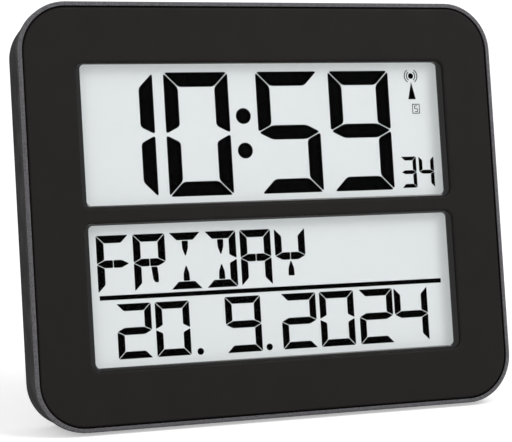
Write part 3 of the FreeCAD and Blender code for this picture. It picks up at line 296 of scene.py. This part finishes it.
@dataclass(frozen=True)
class CellSleeve(Finish):
    """A cell's printed sleeve: plain grey with a copper-coloured band at one end.

    side is the way along X that the band's end points, and middle where the band starts, in millimetres
    that way.
    """

    band: str = "#A8703A"
    middle: float = 0.0
    side: float = 1.0

    def colour_socket(self, tree: bpy.types.NodeTree, place: bpy.types.NodeSocket) -> bpy.types.NodeSocket:
        """The band, chosen by how far along X a point lies."""
        along = add_node(tree, "ShaderNodeSeparateXYZ", {"Vector": place}).outputs["X"]
        past = add_node(tree, "ShaderNodeMath", {0: along, 1: self.side},
                        operation="MULTIPLY").outputs["Value"]
        banded = add_node(tree, "ShaderNodeMath", {0: past, 1: self.middle * MM},
                          operation="GREATER_THAN").outputs["Value"]
        return add_node(tree, "ShaderNodeMix", {
            "Factor": banded, FIRST_COLOUR: linear(self.colour), SECOND_COLOUR: linear(self.band)},
            data_type="RGBA").outputs[MIXED_COLOUR]


# ABS moulded in satin black: almost no shine, with a very fine even grain.
FACE = Finish("face_satin_abs", "#181615", 0.6, ior=1.54, specular=0.12, grain=0.35, relief=0.004,
              mottle=0.03)
# ABS moulded against a spark-eroded tool: dark, with a fine pebbled grain that softens every reflection.
COVER = Finish("cover_textured_abs", "#1E1C1C", 0.65, ior=1.54, specular=0.02, grain=0.5, relief=0.012)
# The same ABS polished in the tool, on the lips of the two windows.
LIP = Finish("lip_polished_abs", "#060606", 0.16, ior=1.54, specular=0.5, grain=2.0, relief=0.0005,
             wear=0.03)
# The same ABS on the parts that fingers move, a little smoother from use.
BUTTON = Finish("button_polished_abs", "#1B1A1A", 0.38, ior=1.54, specular=0.45, grain=0.4, relief=0.006)
# ABS with a thin grey metallic lacquer on the rim.
RIM = SpeckledRim("rim_grey_lacquered_abs", "#59585B", 0.55, ior=1.5, specular=0.04, grain=0.3, relief=0.006)
# Cast acrylic with an anti-reflection coat, whose low index makes it nearly invisible from the front.
ACRYLIC = ClearSheet("pane_coated_acrylic", "#FDFEFE", 0.0, ior=1.1, specular=0.05, grain=3.0,
                     relief=0.00001, mottle=0.0, wear=0.0)
# Polarising film over the display: cool pale grey with a painted glow, which makes it nearly as bright at
# its edges, where the window shades it, as in its middle.
FILM_WITH_PAINTED_GLOW = GlowPaintedFilm("film_polariser_painted_glow", "#AEB1B2", 0.5, ior=1.49, specular=0.2, grain=0.8, relief=0.001,
               mottle=0.008, patch=30.0)
# Liquid crystal switched dark: it takes in nearly all light and hardly shines.
SEGMENT = Finish("segment_liquid_crystal", "#010101", 0.6, ior=1.5, specular=0.0, grain=0.8, relief=0.0005,
                 mottle=0.3)
# Float glass with a faint green edge.
GLASS = ClearSheet("cell_float_glass", "#E6F2EC", 0.0, ior=1.52, grain=5.0, relief=0.0001, mottle=0.0,
                   wear=0.0)
# Aluminium foil laminated dull side out.
FOIL = Finish("reflector_matt_foil", "#C9CCCB", 0.45, metallic=1.0, grain=0.5, relief=0.004, mottle=0.03)
# Light grey high-impact polystyrene, moulded.
HOLDER = Finish("holder_moulded_polystyrene", "#A9ABAA", 0.5, ior=1.59, specular=0.4, grain=0.6,
                relief=0.006)
# Conductive and insulating silicone in fine layers.
SILICONE = Finish("strip_layered_silicone", "#3A3A3C", 0.7, ior=1.41, grain=0.3, relief=0.01,
                  mottle=0.2, patch=0.4)
# Glass laminate under green solder mask.
BOARD = BoardMask("board_solder_mask", "#14502C", 0.35, ior=1.55, grain=0.6, relief=0.004)
# Black epoxy, dropped on wet and set: smooth with a soft skin.
EPOXY = Finish("cap_cast_epoxy", "#0B0B0C", 0.3, ior=1.55, grain=1.5, relief=0.02)
# Glass-filled nylon of the switch bodies and plungers.
NYLON = Finish("switch_filled_nylon", "#17181A", 0.6, ior=1.53, grain=0.25, relief=0.006)
# Drawn steel can with bright nickel plating.
CAN = Finish("crystal_nickel_plated_can", "#B9B8B2", 0.25, metallic=1.0, grain=0.8, relief=0.002)
# Shrunk PVC sleeve over an aluminium can.
SLEEVE = Finish("capacitor_shrunk_sleeve", "#161B3A", 0.3, ior=1.53, grain=1.0, relief=0.004)
# Sintered ferrite: dark grey, dull and slightly porous.
FERRITE = Finish("rod_sintered_ferrite", "#2B2A2A", 0.65, ior=2.0, specular=0.4, grain=0.3, relief=0.02,
                 mottle=0.15)
# Copper wire in clear enamel, wound in close turns.
COPPER = WoundWire("coil_enamelled_copper", "#B4683A", 0.3, metallic=1.0, coat=0.3, relief=0.08)
# Soft PVC insulation in three colours.
LEAD_WHITE = Finish("lead_white_pvc", "#DADAD5", 0.4, ior=1.53, grain=0.5, relief=0.004)
LEAD_BLACK = Finish("lead_black_pvc", "#121212", 0.4, ior=1.53, grain=0.5, relief=0.004)
LEAD_RED = Finish("lead_red_pvc", "#A3160F", 0.4, ior=1.53, grain=0.5, relief=0.004)
# Spring steel with nickel plating.
NICKEL = Finish("contact_nickel_plated_steel", "#BDB8AE", 0.28, metallic=1.0, grain=0.6, relief=0.003)
# Zinc plating on small steel screws, brighter where the driver has been.
ZINC = Finish("screw_zinc_plated_steel", "#9A9C9F", 0.38, metallic=1.0, grain=0.4, relief=0.005, mottle=0.1,
              patch=1.5)


# The clock's own frame

@dataclass
class Lean:
    """Maps the upright clock to the row frame.

    The upright frame has X to the viewer's right, Y to the back and Z up, in millimetres, with its
    origin in the middle of the front face. The face panel's middle lies half its thickness behind
    that origin, and the film of the upper display, a plain sheet, gives the exact depth.
    """

    angle: float = 9.8
    face_thickness: float = 2.0
    film_middle: float = 6.1
    turn: np.ndarray = field(init=False)
    origin: np.ndarray = field(init=False)

    def __post_init__(self) -> None:
        """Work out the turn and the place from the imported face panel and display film."""
        slope = math.radians(-self.angle)
        self.turn = np.array(Matrix.Rotation(slope, 3, "X"))
        low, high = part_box("face_panel")
        middle = np.array((low + high) / 2) / MM
        self.origin = middle - self.turn @ np.array([0.0, self.face_thickness / 2, 0.0])
        low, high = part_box("time_lcd_polariser")
        film = np.array((low + high) / 2) / MM
        back = self.turn @ np.array([0.0, 1.0, 0.0])
        self.origin += back * (back @ (film - self.origin) - self.film_middle)

    def place(self, points: np.ndarray) -> np.ndarray:
        """Carry points from upright millimetres to the row frame in metres."""
        return (points @ self.turn.T + self.origin) * MM

    def direction(self, vector: tuple[float, float, float]) -> Vector:
        """Turn a direction of the upright frame into the row frame."""
        return Vector(self.turn @ np.array(vector))


def mesh_piece(name: str, points: np.ndarray, faces: list, finish: Finish,
               body: str = "case") -> None:
    """Make a piece from whole arrays, dress it and let it ride on a body.

    Args:
        name: the piece's name.
        points: its vertices in the row frame, in metres.
        faces: vertex numbers of each face.
        finish: the finish it gets.
        body: the body it moves with.
    """
    mesh = bpy.data.meshes.new(name)
    mesh.from_pydata(points, [], faces)
    mesh.validate()
    mesh.materials.append(finish.material())
    piece = bpy.data.objects.new(name, mesh)
    bpy.context.scene.collection.objects.link(piece)
    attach(piece, body)
    log.info("%s: %d faces", name, len(mesh.polygons))


def dress(nodes: dict[str, Finish]) -> None:
    """Give carried-over nodes their finishes."""
    for name, finish in nodes.items():
        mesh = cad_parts[name].data
        mesh.materials.clear()
        mesh.materials.append(finish.material())
        log.info("%s: %s", name, finish.name)


# Outlines of the display's segments

# A rounded corner takes at most this share of each side next to it.
SIDE_SHARE = 0.45
# The stem of a letter: its half width in strokes at the root, the shoulder and the tip, and where the
# shoulder and the tip lie, as shares of the room between two bars.
STEM_ROOT, STEM_SHOULDER, STEM_TIP = 0.45, 0.4, 0.08
SHOULDER_DOWN, TIP_UP = 0.4, 0.24
# The slanting leg of a letter, in strokes: where its top starts and ends right of the cell's middle,
# and its foot's corners, counted left and up from the cell's lower right corner.
LEG_TOP = (0.1, 0.95)
LEG_FOOT = ((1.75, 1.35), (1.5, 1.0), (1.0, 1.0), (1.0, 1.9))


def shrink(outlines: np.ndarray, by: float) -> np.ndarray:
    """Move every side of convex outlines inwards.

    Args:
        outlines: array of outlines by corners by (x, z), each turning to the left.
        by: how far, in millimetres.

    Returns:
        The outlines with each corner moved by the sum of its two sides' inward normals, times the
        distance, over one plus the normals' dot product.
    """
    ahead = np.roll(outlines, -1, axis=1) - outlines
    ahead /= np.linalg.norm(ahead, axis=2, keepdims=True)
    normal = np.stack([-ahead[..., 1], ahead[..., 0]], axis=2)
    before = np.roll(normal, 1, axis=1)
    share = 1 + np.sum(normal * before, axis=2, keepdims=True)
    return outlines + by * (normal + before) / share


def soften(outlines: np.ndarray, radius: float, steps: int = 5) -> np.ndarray:
    """Round every corner of the outlines.

    Args:
        outlines: array of outlines by corners by (x, z).
        radius: how far from its corner each curve starts, in millimetres.
        steps: points on each curve.

    Returns:
        The outlines with each corner replaced by a parabola that is tangent to both sides: the
        corner weighted by 2t(1-t) and the two tangent points by (1-t) squared and t squared.
    """
    back = np.roll(outlines, 1, axis=1) - outlines
    ahead = np.roll(outlines, -1, axis=1) - outlines
    back_length = np.linalg.norm(back, axis=2)
    ahead_length = np.linalg.norm(ahead, axis=2)
    reach = np.minimum(radius, SIDE_SHARE * np.minimum(back_length, ahead_length))
    start = outlines + back / back_length[..., None] * reach[..., None]
    end = outlines + ahead / ahead_length[..., None] * reach[..., None]
    t = np.linspace(0, 1, steps)[None, None, :, None]
    curve = ((1 - t) ** 2 * start[:, :, None] + 2 * t * (1 - t) * outlines[:, :, None]
             + t ** 2 * end[:, :, None])
    return curve.reshape(len(outlines), -1, 2)


def mirrored(outline: list[tuple[float, float]], wide: float | None = None,
             high: float | None = None) -> list[tuple[float, float]]:
    """An outline mirrored across a cell's middle, sideways or up and down, still turning left."""
    return [(wide - x if wide is not None else x, high - z if high is not None else z)
            for x, z in reversed(outline)]


class Segment(Enum):
    """The segments of a display cell."""

    TOP = "top"
    BOTTOM = "bottom"
    LEFT_HIGH = "left high"
    LEFT_LOW = "left low"
    RIGHT_HIGH = "right high"
    RIGHT_LOW = "right low"
    MIDDLE = "middle"
    MIDDLE_LEFT = "middle left"
    MIDDLE_RIGHT = "middle right"
    STEM_HIGH = "stem high"
    STEM_LOW = "stem low"
    LEG_RIGHT = "leg right"


S = Segment
RING = (S.TOP, S.BOTTOM, S.LEFT_HIGH, S.LEFT_LOW, S.RIGHT_HIGH, S.RIGHT_LOW)
DIGITS = {
    "0": RING,
    "1": (S.RIGHT_HIGH, S.RIGHT_LOW),
    "2": (S.TOP, S.RIGHT_HIGH, S.MIDDLE, S.LEFT_LOW, S.BOTTOM),
    "3": (S.TOP, S.RIGHT_HIGH, S.MIDDLE, S.RIGHT_LOW, S.BOTTOM),
    "4": (S.LEFT_HIGH, S.RIGHT_HIGH, S.MIDDLE, S.RIGHT_LOW),
    "5": (S.TOP, S.LEFT_HIGH, S.MIDDLE, S.RIGHT_LOW, S.BOTTOM),
    "9": (S.TOP, S.LEFT_HIGH, S.RIGHT_HIGH, S.MIDDLE, S.RIGHT_LOW, S.BOTTOM),
}
LETTERS = {
    "F": (S.TOP, S.LEFT_HIGH, S.LEFT_LOW, S.MIDDLE_LEFT, S.MIDDLE_RIGHT),
    "R": (S.TOP, S.LEFT_HIGH, S.LEFT_LOW, S.RIGHT_HIGH, S.MIDDLE_LEFT, S.MIDDLE_RIGHT, S.LEG_RIGHT),
    "I": (S.TOP, S.BOTTOM, S.STEM_HIGH, S.STEM_LOW),
    "D": (S.TOP, S.BOTTOM, S.RIGHT_HIGH, S.RIGHT_LOW, S.STEM_HIGH, S.STEM_LOW),
    "A": (S.TOP, S.LEFT_HIGH, S.LEFT_LOW, S.RIGHT_HIGH, S.RIGHT_LOW, S.MIDDLE_LEFT, S.MIDDLE_RIGHT),
    "Y": (S.LEFT_HIGH, S.RIGHT_HIGH, S.MIDDLE_LEFT, S.MIDDLE_RIGHT, S.STEM_LOW),
}


@dataclass(frozen=True)
class Cell:
    """One size of display cell: its width and height, its stroke and the gap between segments, in mm."""

    width: float
    height: float
    stroke: float
    gap: float = 0.36
    round_share: float = 0.22

    def outline(self, segment: Segment) -> list[tuple[float, float]]:
        """The corners of one segment, from the cell's lower left corner, turning left."""
        w, h, t = self.width, self.height, self.stroke
        middle, half = h / 2, t / 2
        top = [(0, h), (t, h - t), (w - t, h - t), (w, h)]
        left = [(0, h), (0, middle), (t, middle + half), (t, h - t)]
        bar = [(0, middle), (t, middle - half), (w - t, middle - half), (w, middle), (w - t, middle + half),
               (t, middle + half)]
        half_bar = [(0, middle), (t, middle - half), (w / 2, middle - half), (w / 2, middle + half),
                    (t, middle + half)]
        room = h / 2 - t
        stem_right = [(w / 2 + STEM_TIP * t, middle + TIP_UP * room),
                      (w / 2 + STEM_SHOULDER * t, h - t - SHOULDER_DOWN * room),
                      (w / 2 + STEM_ROOT * t, h - t)]
        stem = mirrored(stem_right, wide=w) + stem_right
        leg = [(w / 2 + LEG_TOP[0] * t, middle - half), *((w - x * t, z * t) for x, z in LEG_FOOT),
               (w / 2 + LEG_TOP[1] * t, middle - half)]
        shapes = {
            S.TOP: top, S.BOTTOM: mirrored(top, high=h),
            S.LEFT_HIGH: left, S.LEFT_LOW: mirrored(left, high=h),
            S.RIGHT_HIGH: mirrored(left, wide=w),
            S.RIGHT_LOW: mirrored(mirrored(left, high=h), wide=w),
            S.MIDDLE: bar, S.MIDDLE_LEFT: half_bar, S.MIDDLE_RIGHT: mirrored(half_bar, wide=w),
            S.STEM_HIGH: stem, S.STEM_LOW: mirrored(stem, high=h),
            S.LEG_RIGHT: leg,
        }
        return shapes[segment]

    def shapes(self, segments: tuple[Segment, ...], x: float, z: float) -> list[np.ndarray]:
        """The finished outlines of the lit segments of a cell whose lower left corner is at (x, z)."""
        made = []
        for segment in segments:
            corner = np.array([self.outline(segment)], float) + (x, z)
            made.append(soften(shrink(corner, self.gap / 2), self.round_share * self.stroke)[0])
        return made


def disc(x: float, z: float, radius: float, start: float = 0.0, sweep: float = 360.0,
         inner: float = 0.0, steps: int = 33) -> np.ndarray:
    """A disc, or a ring's arc: points at the outer radius, then back along the inner one.

    Args:
        x, z: the centre in millimetres.
        radius: outer radius.
        start, sweep: angles in degrees, counted from +X towards +Z.
        inner: inner radius, or 0 for a disc.
        steps: points on the arc.

    Returns:
        The outline, turning left.
    """
    angles = np.radians(start + np.linspace(0, sweep, steps, endpoint=bool(inner)))
    rim = np.stack([np.cos(angles), np.sin(angles)], axis=1)
    outline = rim * radius if not inner else np.concatenate([rim * radius, rim[::-1] * inner])
    return outline + (x, z)


def rectangle(left: float, right: float, low: float, high: float) -> np.ndarray:
    """A rectangle's corners, turning left."""
    return np.array([(left, low), (right, low), (right, high), (left, high)])


def layer(outlines: list[np.ndarray], front: float, back: float, lean: Lean) -> tuple[np.ndarray, list]:
    """Turn flat outlines into one thin layer.

    Args:
        outlines: outlines in (x, z), in upright millimetres, turning left as seen from the front.
        front, back: the layer's two depths.
        lean: the map to the row frame.

    Returns:
        The vertices in metres, and the faces: a front, a back and one side for each edge.
    """
    flat = np.concatenate(outlines)
    count = len(flat)
    near = np.stack([flat[:, 0], np.full(count, front), flat[:, 1]], axis=1)
    far = near + (0.0, back - front, 0.0)
    faces = []
    start = 0
    for outline in outlines:
        ring = np.arange(start, start + len(outline))
        ahead = np.roll(ring, -1)
        faces.append(ring.tolist())
        faces.append((ring[::-1] + count).tolist())
        faces += np.stack([ring, ring + count, ahead + count, ahead], axis=1).tolist()
        start += len(outline)
    return lean.place(np.concatenate([near, far])), faces


@dataclass(frozen=True)
class Lip:
    """The lip inside one window: a flat quarter round that rolls inwards, then a short wall.

    low and high are the opening's two levels; left, right, bottom and top say how far the lip comes in
    from each side. front is the depth where the roll starts, roll its depth and back the wall's far end.
    The opening's corner radius is corner, and the lip's inner edge is tighter than that. All sizes are
    in millimetres; around counts the points of one ring and steps the rings of the roll.
    """

    low: float
    high: float
    left: float
    right: float
    bottom: float
    top: float
    half_width: float = 87.58
    corner: float = 4.0
    tighter: float = 1.8
    front: float = 1.25
    roll: float = 0.4
    back: float = 1.95
    around: int = 48
    steps: int = 9

    def ring(self, share: float, depth: float) -> np.ndarray:
        """One closed ring: a rectangle with round corners, in upright millimetres.

        Args:
            share: how far in the ring lies, from 0 at the opening to 1 at the lip's inner edge.
            depth: its depth behind the front face.

        Returns:
            The points: each corner's centre plus the corner radius times the cosine and sine of an
            angle that turns once round, half a step away from the four axes.
        """
        angles = np.linspace(0, math.tau, self.around, endpoint=False) + math.pi / (2 * self.around)
        right, up = np.sign(np.cos(angles)), np.sign(np.sin(angles))
        radius = self.corner - self.tighter * share
        wide = self.half_width - np.where(right > 0, self.right, self.left) * share - radius
        level = np.where(up > 0, self.high - self.top * share - radius,
                         self.low + self.bottom * share + radius)
        return np.stack([right * wide + radius * np.cos(angles), np.full(self.around, depth),
                         level + radius * np.sin(angles)], axis=1)

    def surface(self, lean: Lean) -> tuple[np.ndarray, list]:
        """The lip's closed surface.

        Args:
            lean: the map to the row frame.

        Returns:
            The vertices in metres and the faces. Over the roll, a ring's share is the sine of an angle
            that turns by a right angle, and its depth grows by one minus the cosine; the last two rings
            close the wall and the back.
        """
        turn = np.linspace(0, math.pi / 2, self.steps)
        shares = [*np.sin(turn), 1.0, 0.0]
        depths = [*(self.front + self.roll * (1 - np.cos(turn))), self.back, self.back]
        rings = [self.ring(share, depth) for share, depth in zip(shares, depths)]
        around = np.arange(self.around)
        start = np.arange(len(rings))[:, None] * self.around
        first, ahead = start + around, start + (around + 1) % self.around
        faces = np.stack([first, ahead, np.roll(ahead, -1, axis=0), np.roll(first, -1, axis=0)], axis=2)
        return lean.place(np.concatenate(rings)), faces.reshape(-1, 4).tolist()


# The sub-assemblies

@dataclass
class TimeDisplay:
    """The upper display: hours and minutes, seconds, and the two signs at its right end.

    Places are in upright millimetres. depth is how far the segments' back lies behind the front face.
    tower holds the level of the mast's tip, the level of its foot and half its foot's width; sign_box
    holds the framed sign's left, right, low and high side.
    """

    lean: Lean
    depth: float = 5.98
    thickness: float = 0.05
    figure: Cell = Cell(30.4, 55.35, 6.86)
    small_figure: Cell = Cell(7.8, 14.6, 1.95, 0.16)
    figure_low: float = 7.0
    figure_lefts: tuple[float, ...] = (-81.87, -46.74, -3.4, 31.85)
    hours_minutes: str = "1059"
    seconds: str = "34"
    second_lefts: tuple[float, ...] = (66.0, 75.0)
    second_low: float = 7.65
    colon: tuple[float, ...] = (42.3, 26.8)
    colon_middle: float = -10.0
    colon_radius: float = 3.56
    mast_top: tuple[float, float] = (73.8, 59.6)
    mast_dot: float = 1.3
    arc_radii: tuple[float, ...] = (2.35, 3.45)
    arc_starts: tuple[float, ...] = (-58.0, 122.0)
    arc_sweep: float = 116.0
    arc_line: float = 0.42
    tower: tuple[float, float, float] = (56.9, 48.8, 1.9)
    sign_box: tuple[float, float, float, float] = (73.6, 77.4, 42.1, 46.6)
    sign_line: float = 0.34
    sign_figure: Cell = Cell(1.7, 3.0, 0.36, 0.02)
    sign_corner: tuple[float, float] = (74.65, 42.85)

    def outlines(self) -> list[np.ndarray]:
        """All lit figures and signs."""
        shapes = []
        for left, figure in zip(self.figure_lefts, self.hours_minutes):
            shapes += self.figure.shapes(DIGITS[figure], left, self.figure_low)
        for left, figure in zip(self.second_lefts, self.seconds):
            shapes += self.small_figure.shapes(DIGITS[figure], left, self.second_low)
        shapes += [disc(self.colon_middle, level, self.colon_radius) for level in self.colon]
        return shapes + self.mast() + self.frame_sign()

    def mast(self) -> list[np.ndarray]:
        """The sign for radio reception: a mast, a dot and two pairs of arcs."""
        x, z = self.mast_top
        arcs = [disc(x, z, radius, start, self.arc_sweep, radius - self.arc_line)
                for radius in self.arc_radii for start in self.arc_starts]
        tip, foot, half = self.tower
        tower = np.array([(x, tip), (x - half, foot), (x + half, foot)])
        return [disc(x, z, self.mast_dot), *arcs, tower]

    def frame_sign(self) -> list[np.ndarray]:
        """A small framed sign with a figure inside."""
        (left, right, low, high), line = self.sign_box, self.sign_line
        bars = [(left, right, low, low + line), (left, right, high - line, high),
                (left, left + line, low, high), (right - line, right, low, high)]
        sides = [rectangle(*bar) for bar in bars]
        return sides + self.sign_figure.shapes(DIGITS["5"], *self.sign_corner)

    def build(self) -> None:
        """Make the lit segments and dress the display's own nodes."""
        points, faces = layer(self.outlines(), self.depth - self.thickness, self.depth, self.lean)
        mesh_piece("time_segments", points, faces, SEGMENT)
        # The polariser film carries a painted glow that evens out the shade at its edges.
        dress({"time_lcd_polariser": FILM_WITH_PAINTED_GLOW, "time_lcd_glass": GLASS, "time_lcd_reflector": FOIL,
               "time_connector_strip": SILICONE, "time_window": ACRYLIC})


@dataclass
class DateDisplay:
    """The lower display: the weekday in letters, a line, and the date in figures.

    Places are in upright millimetres: a figure stands with its own left side, and line holds the line's
    left, right, low and high side.
    """

    lean: Lean
    depth: float = 5.98
    thickness: float = 0.05
    letter: Cell = Cell(14.85, 25.1, 3.6, 0.26, 0.15)
    figure: Cell = Cell(15.9, 24.1, 3.42, 0.26, 0.15)
    wide_figure: Cell = Cell(17.0, 25.0, 3.42, 0.26, 0.15)
    weekday: str = "FRIDAY"
    letter_left: float = -81.4
    letter_pitch: float = 16.5
    letter_low: float = -33.6
    day: tuple[tuple[str, float], ...] = (("2", -73.95), ("0", -56.5))
    day_low: float = -62.45
    month_and_year: tuple[tuple[str, float], ...] = (("9", -24.2), ("2", 2.4), ("0", 20.95), ("2", 40.3),
                                                     ("4", 57.9))
    year_low: float = -62.8
    dots: tuple[float, ...] = (-36.5, -4.1)
    dot_level: float = -61.1
    dot_radius: float = 1.5
    line: tuple[float, float, float, float] = (-80.9, 82.4, -36.6, -34.6)

    def outlines(self) -> list[np.ndarray]:
        """All lit letters, figures, dots and the line."""
        shapes = []
        for index, letter in enumerate(self.weekday):
            shapes += self.letter.shapes(LETTERS[letter], self.letter_left + index * self.letter_pitch,
                                         self.letter_low)
        for figure, left in self.day:
            shapes += self.figure.shapes(DIGITS[figure], left, self.day_low)
        for figure, left in self.month_and_year:
            shapes += self.wide_figure.shapes(DIGITS[figure], left, self.year_low)
        shapes.append(rectangle(*self.line))
        return shapes + [disc(x, self.dot_level, self.dot_radius) for x in self.dots]

    def build(self) -> None:
        """Make the lit segments and dress the display's own nodes."""
        points, faces = layer(self.outlines(), self.depth - self.thickness, self.depth, self.lean)
        mesh_piece("date_segments", points, faces, SEGMENT)
        # The polariser film carries a painted glow that evens out the shade at its edges.
        dress({"date_lcd_polariser": FILM_WITH_PAINTED_GLOW, "date_lcd_glass": GLASS, "date_lcd_reflector": FOIL,
               "date_connector_strip": SILICONE, "date_window": ACRYLIC})


@dataclass
class Case:
    """The frame with its grey rim, the face panel, the tub behind them and what holds them together."""

    lean: Lean
    time_lip: Lip = Lip(3.1, 65.8, 2.1, 2.7, 0.9, 0.5)
    date_lip: Lip = Lip(-66.9, -3.7, 2.1, 2.7, 1.4, 0.8)

    def build(self) -> None:
        """Make the window lips and dress the case, with the lacquer measured from the front face."""
        back = self.lean.direction((0.0, 1.0, 0.0))
        for name, lip in (("time_window_lip", self.time_lip), ("date_window_lip", self.date_lip)):
            points, faces = lip.surface(self.lean)
            mesh_piece(name, points, faces, LIP)
        rim = replace(RIM, back=tuple(back), front=back.dot(Vector(self.lean.origin)))
        dress({"front_frame": rim, "face_panel": FACE, "rear_cover": COVER, "battery_door": COVER,
               "stand_leg": COVER, "lcd_holder": HOLDER, "case_screws": ZINC, "holder_screws": ZINC})


@dataclass
class Controls:
    """The five rear buttons with their switches."""

    names: tuple[str, ...] = ("mode", "set", "up", "down", "signal")

    def build(self) -> None:
        """Dress the buttons, plungers and switch bodies."""
        dress({"button_" + name: BUTTON for name in self.names})
        dress({"switch_plunger_" + name: NYLON for name in self.names})
        dress({"switch_bodies": NYLON})


@dataclass
class Electronics:
    """The boards, their parts, and the aerial."""

    def build(self) -> None:
        """Dress everything on and beside the boards."""
        dress({"main_board": BOARD, "receiver_board": BOARD, "driver_chip_cap": EPOXY,
               "receiver_chip": EPOXY, "quartz_crystal": CAN, "capacitors": SLEEVE, "ferrite_rod": FERRITE,
               "antenna_coil": COPPER, "antenna_leads": LEAD_WHITE, "receiver_leads": LEAD_WHITE,
               "board_screws": ZINC, "receiver_screws": ZINC})


@dataclass
class Power:
    """The two cells, their contacts and leads."""

    band_width: float = 9.0

    def build(self) -> None:
        """Dress the cells, each with its band at the end that carries the nub."""
        for name, side in (("upper_cell", 1.0), ("lower_cell", -1.0)):
            low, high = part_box(name)
            end = (high.x if side > 0 else -low.x) / MM
            sleeve = CellSleeve("%s_printed_sleeve" % name, "#4B4F54", 0.3, coat=0.3, ior=1.5, grain=1.0,
                                relief=0.002, middle=end - self.band_width, side=side)
            dress({name: sleeve})
        dress({"negative_spring": NICKEL, "positive_plate": NICKEL, "link_contact": NICKEL,
               "black_battery_lead": LEAD_BLACK, "red_battery_lead": LEAD_RED})


@dataclass
class Studio:
    """A white sweep, soft lamps and the camera of the photograph.

    The camera's place and axes are in the clock's upright frame, in millimetres; all else is in metres.
    A lamp has its name, its place, the length of its side and its power in watts.
    """

    lean: Lean
    lens: float = 127.009
    sensor: float = 36.0
    nearest: float = 0.01
    camera_at: tuple[float, float, float] = (-291.59, -745.90, -50.44)
    camera_right: tuple[float, float, float] = (0.9347, -0.3502, -0.0603)
    camera_up: tuple[float, float, float] = (0.0365, -0.0743, 0.9966)
    camera_ahead: tuple[float, float, float] = (0.3535, 0.9337, 0.0566)
    world_light: float = 0.6
    floor_colour: str = "#E6E6E6"
    floor_glow: float = 0.45
    floor_front: float = -3.0
    floor_back: float = 0.9
    half_width: float = 3.0
    bend_radius: float = 0.5
    wall_height: float = 2.2
    bend_steps: int = 25
    aim: tuple[float, float, float] = (0.0, 0.0, 0.09)
    lamps: tuple = (("key_lamp", (0.9, -0.9, 1.4), 0.9, 17.0), ("left_lamp", (-1.2, -1.3, 0.9), 1.0, 8.0))

    def camera(self) -> None:
        """Set the camera where the photograph's perspective puts it."""
        data = bpy.data.cameras.new("camera")
        data.lens = self.lens
        data.sensor_width = self.sensor
        data.sensor_fit = "HORIZONTAL"
        data.clip_start = self.nearest
        camera = bpy.data.objects.new("camera", data)
        bpy.context.scene.collection.objects.link(camera)
        axes = [self.lean.direction(self.camera_right), self.lean.direction(self.camera_up),
                -self.lean.direction(self.camera_ahead)]
        turn = Matrix(axes).transposed().to_4x4()
        camera.matrix_world = Matrix.Translation(self.lean.place(np.array(self.camera_at))) @ turn
        bpy.context.scene.camera = camera

    def paint(self) -> bpy.types.Material:
        """White floor paint: it takes the clock's shadow, and elsewhere glows just enough to be white.

        The glow is for rays that end in the picture, so it throws no light on the clock.
        """
        made = bpy.data.materials.new("studio_white_paint")
        made.use_nodes = True
        tree = made.node_tree
        tree.nodes.clear()
        paths = add_node(tree, "ShaderNodeLightPath")
        seen = paths.outputs["Is Camera Ray"]
        for ray in ("Is Glossy Ray", "Is Transmission Ray"):
            seen = add_node(tree, "ShaderNodeMath", {0: seen, 1: paths.outputs[ray]},
                            operation="MAXIMUM").outputs["Value"]
        glow = add_node(tree, "ShaderNodeMath", {0: seen, 1: self.floor_glow}, operation="MULTIPLY")
        surface = add_node(tree, "ShaderNodeBsdfPrincipled", {
            "Base Color": linear(self.floor_colour), "Roughness": 0.9, "Specular IOR Level": 0.0,
            "Emission Color": (1.0, 1.0, 1.0, 1.0), "Emission Strength": glow.outputs["Value"]})
        add_node(tree, "ShaderNodeOutputMaterial", {"Surface": surface.outputs["BSDF"]})
        return made

    def sweep(self) -> None:
        """The floor and backdrop: flat floor, a quarter circle and an upright wall, drawn along X."""
        turn = np.linspace(0, math.pi / 2, self.bend_steps)
        radius, back = self.bend_radius, self.floor_back
        bend = np.stack([back + radius * np.sin(turn), radius - radius * np.cos(turn)], axis=1)
        profile = np.concatenate([[(self.floor_front, 0.0)], bend, [(back + radius, self.wall_height)]])
        count = len(profile)
        left = np.column_stack([np.full(count, -self.half_width), profile])
        points = np.concatenate([left, left * (-1, 1, 1)])
        ring = np.arange(count - 1)
        faces = np.stack([ring, ring + count, ring + count + 1, ring + 1], axis=1).tolist()
        mesh = bpy.data.meshes.new("studio_sweep")
        mesh.from_pydata(points, [], faces)
        mesh.materials.append(self.paint())
        mesh.shade_smooth()
        floor = bpy.data.objects.new("studio_sweep", mesh)
        bpy.context.scene.collection.objects.link(floor)

    def lamp(self, name: str, place: tuple[float, float, float], size: float, power: float) -> None:
        """A square soft lamp that faces the clock's middle."""
        data = bpy.data.lights.new(name, "AREA")
        data.shape = "SQUARE"
        data.size = size
        data.energy = power
        lamp = bpy.data.objects.new(name, data)
        lamp.location = place
        lamp.rotation_euler = (Vector(self.aim) - Vector(place)).to_track_quat("-Z", "Y").to_euler()
        bpy.context.scene.collection.objects.link(lamp)

    def build(self) -> None:
        """Set up the whole studio."""
        self.camera()
        self.sweep()
        for name, place, size, power in self.lamps:
            self.lamp(name, place, size, power)
        world = bpy.data.worlds.new("studio_world")
        bpy.context.scene.world = world
        world.use_nodes = True
        world.node_tree.nodes["Background"].inputs["Color"].default_value = (1.0, 1.0, 1.0, 1.0)
        world.node_tree.nodes["Background"].inputs["Strength"].default_value = self.world_light
        bpy.context.scene.view_settings.view_transform = "Standard"


def main() -> None:
    """Build the studio and the clock's sub-assemblies in order."""
    logging.basicConfig(level=logging.INFO, format="%(message)s")
    lean = Lean()
    for part in (Studio(lean), Case(lean), TimeDisplay(lean), DateDisplay(lean), Controls(), Electronics(),
                 Power()):
        log.info("building %s", type(part).__name__)
        part.build()


if __name__ == "__main__":
    main()
